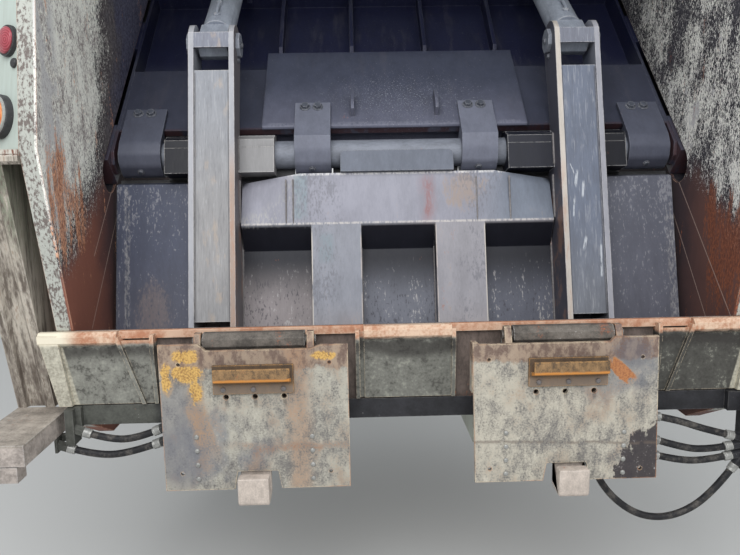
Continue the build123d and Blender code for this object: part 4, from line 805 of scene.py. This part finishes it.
class Shape:
    """Solids of one piece: turned, extruded, swept and welded."""

    def __init__(self):
        self.mesh = bmesh.new()

    def skin(self, rings):
        sides = len(rings[0])
        for low, high in zip(rings, rings[1:]):
            for k in range(sides):
                self.mesh.faces.new((low[k], low[(k + 1) % sides], high[(k + 1) % sides], high[k]))
        self.mesh.faces.new(rings[0][::-1])
        self.mesh.faces.new(rings[-1])

    def turned(self, start, axis, profile, sides=24, roll=0.0):
        """A solid of revolution, from distances along its axis with their radii."""
        start, axis = Vector(start), Vector(axis).normalized()
        across = axis.cross(Vector((0.1, 0.2, 1)) if abs(axis.z) < 0.9 else Vector((1, 0, 0))).normalized()
        other = axis.cross(across)
        turn = [roll + 2 * pi * k / sides for k in range(sides)]
        self.skin([[self.mesh.verts.new(start + axis * along + (across * cos(a) + other * sin(a)) * radius)
                    for a in turn] for along, radius in profile])

    def prism(self, outline, sweep):
        """An outline of points moved along a vector."""
        self.skin([[self.mesh.verts.new(Vector(p) + Vector(move)) for p in outline] for move in ((0, 0, 0), sweep)])

    def tube(self, points, radius, sides=10):
        """A round bar or bead along points, of one radius or one for each."""
        points = [Vector(p) for p in points]
        radii = radius if isinstance(radius, list) else [radius] * len(points)
        rings, across = [], None
        for k, (point, r) in enumerate(zip(points, radii)):
            ahead = (points[min(k + 1, len(points) - 1)] - points[max(k - 1, 0)]).normalized()
            if across is None:
                across = ahead.orthogonal().normalized()
            across = (across - ahead * across.dot(ahead)).normalized()
            other = ahead.cross(across)
            rings.append([self.mesh.verts.new(point + (across * cos(2 * pi * n / sides) + other
                * sin(2 * pi * n / sides)) * r)
                          for n in range(sides)])
        self.skin(rings)

    def bead(self, start, end, radius):
        """A weld: a low rippled ridge between two points, with a ripple each 6 mm."""
        count = max(5, int((end - start).length / 0.006))
        self.tube([start.lerp(end, k / count) for k in range(count + 1)],
                  [radius * (0.5 if k in (0, count) else 1 + 0.14 * sin(k * 2.2) + 0.1
                      * sin(k * 0.71)) for k in range(count + 1)], 6)

    def bolt(self, place, axis, radius, roll=0.3):
        """A hexagon head with its washer, seated a little into what it holds."""
        self.turned(place, axis, [(-0.002, radius * 1.28), (radius * 0.14, radius * 1.28),
                                  (radius * 0.2, radius * 1.2)], 20)
        self.turned(place + axis * (radius * 0.18), axis, [
            (-0.001, radius), (radius * 0.52, radius), (radius * 0.68, radius * 0.86)], 6, roll)

    def button(self, place, axis, radius):
        """A low round head."""
        self.turned(place, axis, [(-0.002, radius), (radius * 0.16, radius), (radius * 0.42, radius * 0.88),
                                  (radius * 0.58, radius * 0.62), (radius * 0.64, radius * 0.22)], 18)

    def nipple(self, place, axis):
        """A low grease nipple on its boss, clear of the blade's beam that swings past it."""
        self.turned(place, axis, [(-0.002, 0.0125), (0.003, 0.0125), (0.0042, 0.009), (0.0068, 0.0086),
            (0.0088, 0.005)], 14)

    def piece(self, name, body, key, slot, width=0.0, stands_for=()):
        if width:
            bmesh.ops.recalc_face_normals(self.mesh, faces=self.mesh.faces)
            break_edges(self.mesh, width, clamp=True)
        return settle(self.mesh, name, body, key, slot, stands_for)


# CAD nodes: each in its place with merged facets, rounded corners and its own finish

slots = {part["node"]: part["material_slot"] for part in frame["record"]["subparts"]}
node_finish = both({
    "side_wall_*": "wall_*", "slide_track_*": "track", "track_cover_*": "track", "hopper_floor": "floor_plate",
    "floor_ribs": "cover", "load_sill": "sill", "cross_tube": "under", "roof": "cover", "front_frame": "cover",
    "lamp_pillar_*": "pillar", "corner_post_*": "post", "step_*": "step", "carriage": "carriage",
    "bearing_caps": "cap", "slide_shoes_*": "carriage", "slide_rod_*": "chrome", "slide_barrel_*": "cylinder",
    "blade": "blade", "blade_shaft": "hub", "shaft_guard": "guard", "lever_arm_*": "arm_*", "lever_pins": "hub",
    "sweep_barrel_*": "cylinder", "sweep_rod_*": "chrome", "tipper_mount_*": "mount", "tipper_catch_*": "catch",
    "latch_hook_*": "hook", "tipper_plate_*": "tipper_*"})
SHAFT = (SHAFT_Y, SHAFT_Z)
PIN = on_blade(0, PIN_U, PIN_V).yz
USUAL_ROUND = 0.0018
TIPPER_AXIS, LEDGE_FOLD = (-1.838, up(1.036)), (-1.878, up(1.575))
rounding = both({  # corners along x that are bent or turned, not folded: distances from an axis, offset, segments
    "load_sill": [(beside((ROLL_Y, SILL_Z - ROLL_R), 0.0205, 0.0235), 0.0078, 3)],
    "lever_arm_*": [(beside(PIN, 0.0675, 0.0705), 0.0143, 3), (beside(SHAFT, 0.068, 0.0722), 0.024, 4)],
    "lever_pins": [(beside(PIN, 0.0385, 0.0415), 0.0142, 4)],
    "bearing_caps": [(beside(SHAFT, 0.06, 0.0785), 0.011, 3)],
    "tipper_mount_*": [(beside(TIPPER_AXIS, 0.025, 0.029), 0.0095, 4)],
    "corner_post_*": [(beside(LEDGE_FOLD, 0.01, 0.0175), 0.0052, 3)]})
widths = both({"load_sill": 0.0012, "front_frame": 0.003, "roof": 0.003, "bearing_caps": 0.0016,
               "lamp_pillar_*": 0.005, "corner_post_*": 0.003, "hopper_floor": 0.001, "slide_track_*": 0.001,
               "side_wall_*": 0.0015, "latch_hook_left": 0.005, "latch_hook_right": 0.007, "tipper_catch_*": 0.003})
bolt_holes = {  # through the plates: x, z and radius
    "tipper_plate_left": [(x, up(0.877), 0.008) for x in (-0.543, -0.458, -0.373)] + [
        (x, up(h), 0.0055) for x, h in ((-0.678, 0.978), (-0.238, 0.976), (-0.683, 0.643), (-0.241, 0.64))],
    "tipper_plate_right": [(x, up(0.87), 0.008) for x in (0.373, 0.46, 0.546)] + [
        (x, up(h), 0.0055) for x, h in ((0.232, 0.971), (0.689, 0.969), (0.237, 0.632), (0.694, 0.622))],
}
crowded = both(dict.fromkeys(("corner_post_*", "cross_tube", "lever_arm_*", "load_sill", "sweep_rod_*",
                              "tipper_plate_*"), True))
for node, key in node_finish.items():
    dressed(node, key, widths.get(node, USUAL_ROUND), rounds=rounding.get(node, ()), merge=node != "carriage",
            clamp=node in crowded, holes=bolt_holes.get(node, ()))

# Fasteners, each seated in what it holds, and a dark sheet behind the blade's top as painted shade
bolts, nipples = Shape(), Shape()
for x, face in ((-0.904, 0.057), (-0.297, 0.077), (0.297, 0.077), (0.904, 0.057)):
    for aside in (-0.028, 0.018):
        bolts.bolt(on_slide(x + aside, 0.15, face + 0.016), SLIDE_OUT, 0.0155, roll=0.3 + aside * 9)
    nipples.nipple(on_slide(x - 0.003, -0.0685, -0.003), -SLIDE_UP)
bolts.piece("cap_bolts", "carriage", "bolt", slots["bearing_caps"])
nipples.piece("cap_nipples", "carriage", "bolt", slots["bearing_caps"])

# Painted shade: a dark rubber sheet fills the gap between the blade's top and the shaft.
shade_sheet = Shape()
for start, end, top in ((-0.995, 0.995, 0.078), (-0.822, -0.366, 0.046), (-0.228, 0.228, 0.046), (0.366, 0.822, 0.046)):
    shade_sheet.prism([on_blade(start, u, v) for u, v in ((top, -0.0288), (top, -0.0215), (0.0925, -0.0215),
        (0.0925, -0.0288))],
               ACROSS * (end - start))
shade_sheet.piece("blade_top_shade_sheet", "blade", "dark_rubber", slots["blade"])

welds = Shape()
runs = [(x, 0.1, 0.258, 0.0515, 0.003) for x in (-0.394, -0.369, 0.281, 0.399)]
for side, ear in ((side, ear) for side, _ in SIDES for ear in (-1, 1)):
    x, inner = side * ARM_X + ear * (ARM_HALF + 0.001), ear * side < 0
    runs += [(x, -0.045, 0.07, 0.0745, 0.0045), (x, 0.1, 0.255, 0.0525 if inner else 0.014, 0.0045),
             (x, 0.27, 0.64, -0.009, 0.0045) if inner else (x, 0.26, 0.64, 0.013, 0.0045)]
runs += [(x, 0.27, 0.76, -0.009, 0.004) for x in (-0.307, -0.131, 0.131, 0.307)]
for x, first, last, v, radius in runs:
    welds.bead(on_blade(x, first, v), on_blade(x, last, v), radius)
welds.piece("blade_welds", "blade", "weld", slots["blade"])

strip = Shape()
strip.prism([on_blade(-0.995, u, v) for u, v in ((0.112, 0.01), (0.108, 0.0155), (0.796, 0.0155), (0.792, 0.01))],
    ACROSS * 0.033)
strip.piece("wing_strip", "blade", "blade", slots["blade"], 0.0015)

pins = Shape()
for side, _ in SIDES:
    for ear in (-1, 1):
        out, face = ACROSS * ear, side * ARM_X + ear * ARM_HALF
        pins.nipple(on_blade(face + ear * 0.0135, PIN_U, PIN_V), out)
        pins.bolt(on_blade(face, PIN_U + 0.05, PIN_V - 0.012), out, 0.0095)
pins.piece("pin_keepers", "blade", "bolt", slots["lever_pins"])

FITTING, CLIP = [(0, 0.013), (0.0105, 0.013), (0.0125, 0.011)], [(0, 0.01), (0.02, 0.01), (0.022, 0.008)]
for side, name in SIDES:
    along, off = Vector((0, cos(SWEEP), sin(SWEEP))), Vector((0, -sin(SWEEP), cos(SWEEP)))
    pin = on_blade(side * ARM_X, PIN_U, PIN_V)
    gland = Shape()
    gland.turned(pin + along * 0.0735, along, [(0, 0.0575), (0.002, 0.0592), (0.014, 0.0592), (0.017, 0.0572)], 40)
    gland.turned(pin + along * 0.552, along, [(0, 0.0572), (0.003, 0.0592), (0.034, 0.0592), (0.0395, 0.054),
        (0.04, 0.033)], 40)
    gland.tube([pin + along * a + off * b for a, b in (
        (0.13, 0.052), (0.13, 0.062), (0.142, 0.0665), (0.3, 0.0665), (0.5, 0.0665), (0.512, 0.062),
        (0.512, 0.052))], 0.0065, 12)
    for a, profile, sides in ((0.13, FITTING, 6), (0.512, FITTING, 6), (0.21, CLIP, 12), (0.43, CLIP, 12)):
        gland.turned(pin + along * a + off * 0.05, off, profile, sides)
    gland.piece(f"sweep_gland_{name}", f"sweep_barrel_{name}", "cylinder", slots[f"sweep_barrel_{name}"])

# Lamps: lens with moulded steps over a rim
lamp_rims, lamp_bezels, red_lenses, orange_lenses, plugs = Shape(), Shape(), Shape(), Shape(), Shape()
for side, _ in SIDES:
    normal = Vector((side * sin(LAMP_TURN) * 0.398, -cos(LAMP_TURN) * 0.398, cos(LAMP_TURN) * 0.068)).normalized()
    red, orange = Vector((side * 1.112, -1.8025, up(1.904))), Vector((side * 1.148, -1.8109, up(1.696)))
    lamp_rims.turned(red, normal, [(-0.002, 0.044), (0.008, 0.044), (0.0125, 0.0425), (0.013, 0.0385)], 40)
    red_lenses.turned(red, normal, [(0.012, 0.0375), (0.0165, 0.037), (0.0185, 0.035), (0.019, 0.032), (0.021, 0.03),
                                    (0.0215, 0.025), (0.0235, 0.0225), (0.024, 0.016), (0.0255, 0.0125), (0.026,
                                        0.003)], 40)
    lamp_rims.turned(orange, normal, [(-0.002, 0.062), (0.014, 0.062), (0.02, 0.06), (0.0215, 0.056)], 48)
    lamp_bezels.turned(orange, normal, [(0.02, 0.0575), (0.025, 0.057), (0.027, 0.055), (0.0272, 0.0525)], 48)
    orange_lenses.turned(orange, normal, [(0.026, 0.0515), (0.031, 0.0505), (0.0345, 0.046), (0.0352, 0.04),
                                          (0.038, 0.034), (0.0385, 0.024), (0.0398, 0.016), (0.04, 0.003)], 48)
    plug = Vector((side * 1.092, -1.888 + 0.025 * tan(LAMP_TURN) + PILLAR_SLOPE * 0.239, up(1.841)))
    plugs.turned(plug, normal, [(-0.002, 0.014), (0.004, 0.014), (0.007, 0.012), (0.0085, 0.006)], 20)
red_lenses.piece("red_lamp_lenses", "tailgate", "red_lens", "lamp_red", stands_for=("red_lamp",))
orange_lenses.piece("orange_lamp_lenses", "tailgate", "orange_lens", "lamp_orange", stands_for=("orange_lamp",))
lamp_rims.piece("lamp_rims", "tailgate", "dark_rubber", "hose_rubber")
lamp_bezels.piece("lamp_bezels", "tailgate", "bezel", "rod_chrome")
plugs.piece("drain_plugs", "tailgate", "dark_rubber", "hose_rubber")

# Tippers: round heads and rough welds
for side, name in SIDES:
    heads = Shape()
    columns = ((-0.636, 0.757, 0.626), (-0.294, 0.751, 0.619)) if side < 0 else ((0.285, 0.744, 0.616),
        (0.641, 0.738, 0.61))
    for x, high, low in columns:
        for n in range(4):
            heads.button((x, PLATE_REAR_Y, up(high + (low - high) * n / 3)), REARWARD, 0.0075)
    heads.piece(f"plate_rivets_{name}", f"tipper_{name}", "silver", slots[f"tipper_plate_{name}"])
    keepers = Shape()
    for aside in (-0.088, 0.0, 0.088):
        x = side * TIPPER_X + (-0.002 if side < 0 else 0.007) + aside
        keepers.button((x, PLATE_REAR_Y - 0.01, up(0.903)), REARWARD, 0.008)
    keepers.piece(f"catch_rivets_{name}", f"tipper_{name}", "weld", slots[f"tipper_catch_{name}"])

# Hydraulic hoses under the sill, hung between their fittings: x and height of their route, and their length
HOSE_Y, HOSE_R = -1.801, 0.011
HOSES = {
    "left_upper": (0.2447, [(-0.998, 0.752), (-0.93, 0.728), (-0.842, 0.724), (-0.762, 0.756)]),
    "left_lower": (0.2945, [(-1.05, 0.703), (-0.964, 0.675), (-0.861, 0.68), (-0.764, 0.713)]),
    "right_upper": (0.2704, [(0.76, 0.757), (0.836, 0.742), (0.93, 0.707), (1.02, 0.684)]),
    "right_middle": (0.2646, [(0.76, 0.683), (0.838, 0.656), (0.93, 0.638), (1.018, 0.653)]),
    "right_lower": (0.2624, [(0.76, 0.632), (0.836, 0.61), (0.93, 0.603), (1.018, 0.621)]),
    "right_loop": (0.6966, [(0.566, 0.69), (0.578, 0.588), (0.64, 0.49), (0.738, 0.42), (0.85, 0.418),
                            (0.96, 0.486), (1.032, 0.59)]),
}
for name, (length, route) in HOSES.items():
    route = [Vector((x, HOSE_Y, up(height))) for x, height in route]
    line = bpy.data.curves.new(f"cord_{name}", "CURVE")
    line.dimensions = "3D"
    line.bevel_depth, line.bevel_resolution, line.resolution_u, line.use_fill_caps = HOSE_R, 5, 16, True
    spline = line.splines.new("NURBS")
    spline.points.add(len(route) - 1)
    for control, place in zip(spline.points, route):
        control.co = (*place, 1.0)
    spline.order_u, spline.use_endpoint_u = 3, True
    line.materials.append(finish["rubber"])
    cord = bpy.data.objects.new(f"cord_{name}", line)
    bpy.context.scene.collection.objects.link(cord)
    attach(cord, "tailgate")
    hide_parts(f"hose_{name}")
    sleeve = Shape()
    for place, beyond in ((route[0], route[1]), (route[-1], route[-2])):
        sleeve.turned(place, beyond - place, [(0.0005, 0.012), (0.0015, 0.0148), (0.016, 0.0148), (0.018, 0.0138),
                                              (0.02, 0.0146), (0.024, 0.0146), (0.026, 0.012)], 20)
    sleeves = sleeve.piece(f"sleeves_{name}", "tailgate", "silver", "sill_steel")

# Floor, backdrop, light and camera
bpy.ops.mesh.primitive_plane_add(size=60, location=(0, 8, ROAD_Z))
floor = bpy.context.object
floor.name = "studio_floor"
ground = Finish("studio_floor", specular=0.2)
floor.data.materials.append(ground.done((206.41, 206.41, 204.93), 0.85))

world = bpy.data.worlds.new("studio")
bpy.context.scene.world = world
world.use_nodes = True
sky = world.node_tree
sky.nodes.clear()
seen = sky.nodes.new("ShaderNodeLightPath")
back, dome = sky.nodes.new("ShaderNodeBackground"), sky.nodes.new("ShaderNodeBackground")
back.inputs["Color"].default_value, back.inputs["Strength"].default_value = (0.8, 0.81, 0.82, 1), 1.0
dome.inputs["Color"].default_value, dome.inputs["Strength"].default_value = (0.93, 0.97, 1.0, 1), 0.62
choose = sky.nodes.new("ShaderNodeMixShader")
out = sky.nodes.new("ShaderNodeOutputWorld")
sky.links.new(seen.outputs["Is Camera Ray"], choose.inputs[0])
sky.links.new(dome.outputs[0], choose.inputs[1])
sky.links.new(back.outputs[0], choose.inputs[2])
sky.links.new(choose.outputs[0], out.inputs[0])

for lamp_name, place, target, size, power in (
        ("sky_panel", (-0.8, -5.6, 1.6), (0, -1.2, -1.9), 4.5, 260),
        ("side_panel", (4.5, -5.0, 0.4), (0, -1.4, -1.9), 3.0, 60)):
    light = bpy.data.lights.new(lamp_name, "AREA")
    light.shape, light.size, light.energy = "SQUARE", size, power
    holder = bpy.data.objects.new(lamp_name, light)
    bpy.context.scene.collection.objects.link(holder)
    holder.location = place
    holder.rotation_euler = (Vector(target) - Vector(place)).to_track_quat("-Z", "Y").to_euler()

FOCAL_PIXELS, IMAGE_WIDTH = 696.9, 740
CAMERA_PLACE = (-0.159, -3.862, -1.572)
YAW, PITCH, ROLL = radians(1.3), radians(8.73), radians(-1.03)
lens_data = bpy.data.cameras.new("photo_camera")
lens_data.sensor_width = 36.0
lens_data.lens = 36.0 * FOCAL_PIXELS / IMAGE_WIDTH
camera = bpy.data.objects.new("photo_camera", lens_data)
bpy.context.scene.collection.objects.link(camera)
ahead = Vector((sin(YAW) * cos(PITCH), cos(YAW) * cos(PITCH), -sin(PITCH)))
level = Vector((cos(YAW), -sin(YAW), 0))
upright = level.cross(ahead)
right = level * cos(ROLL) + upright * sin(ROLL)
above = upright * cos(ROLL) - level * sin(ROLL)
camera.matrix_world = Matrix.Translation(CAMERA_PLACE) @ Matrix((right, above, -ahead)).transposed().to_4x4()
bpy.context.scene.camera = camera
bpy.context.scene.view_settings.view_transform = "Standard"
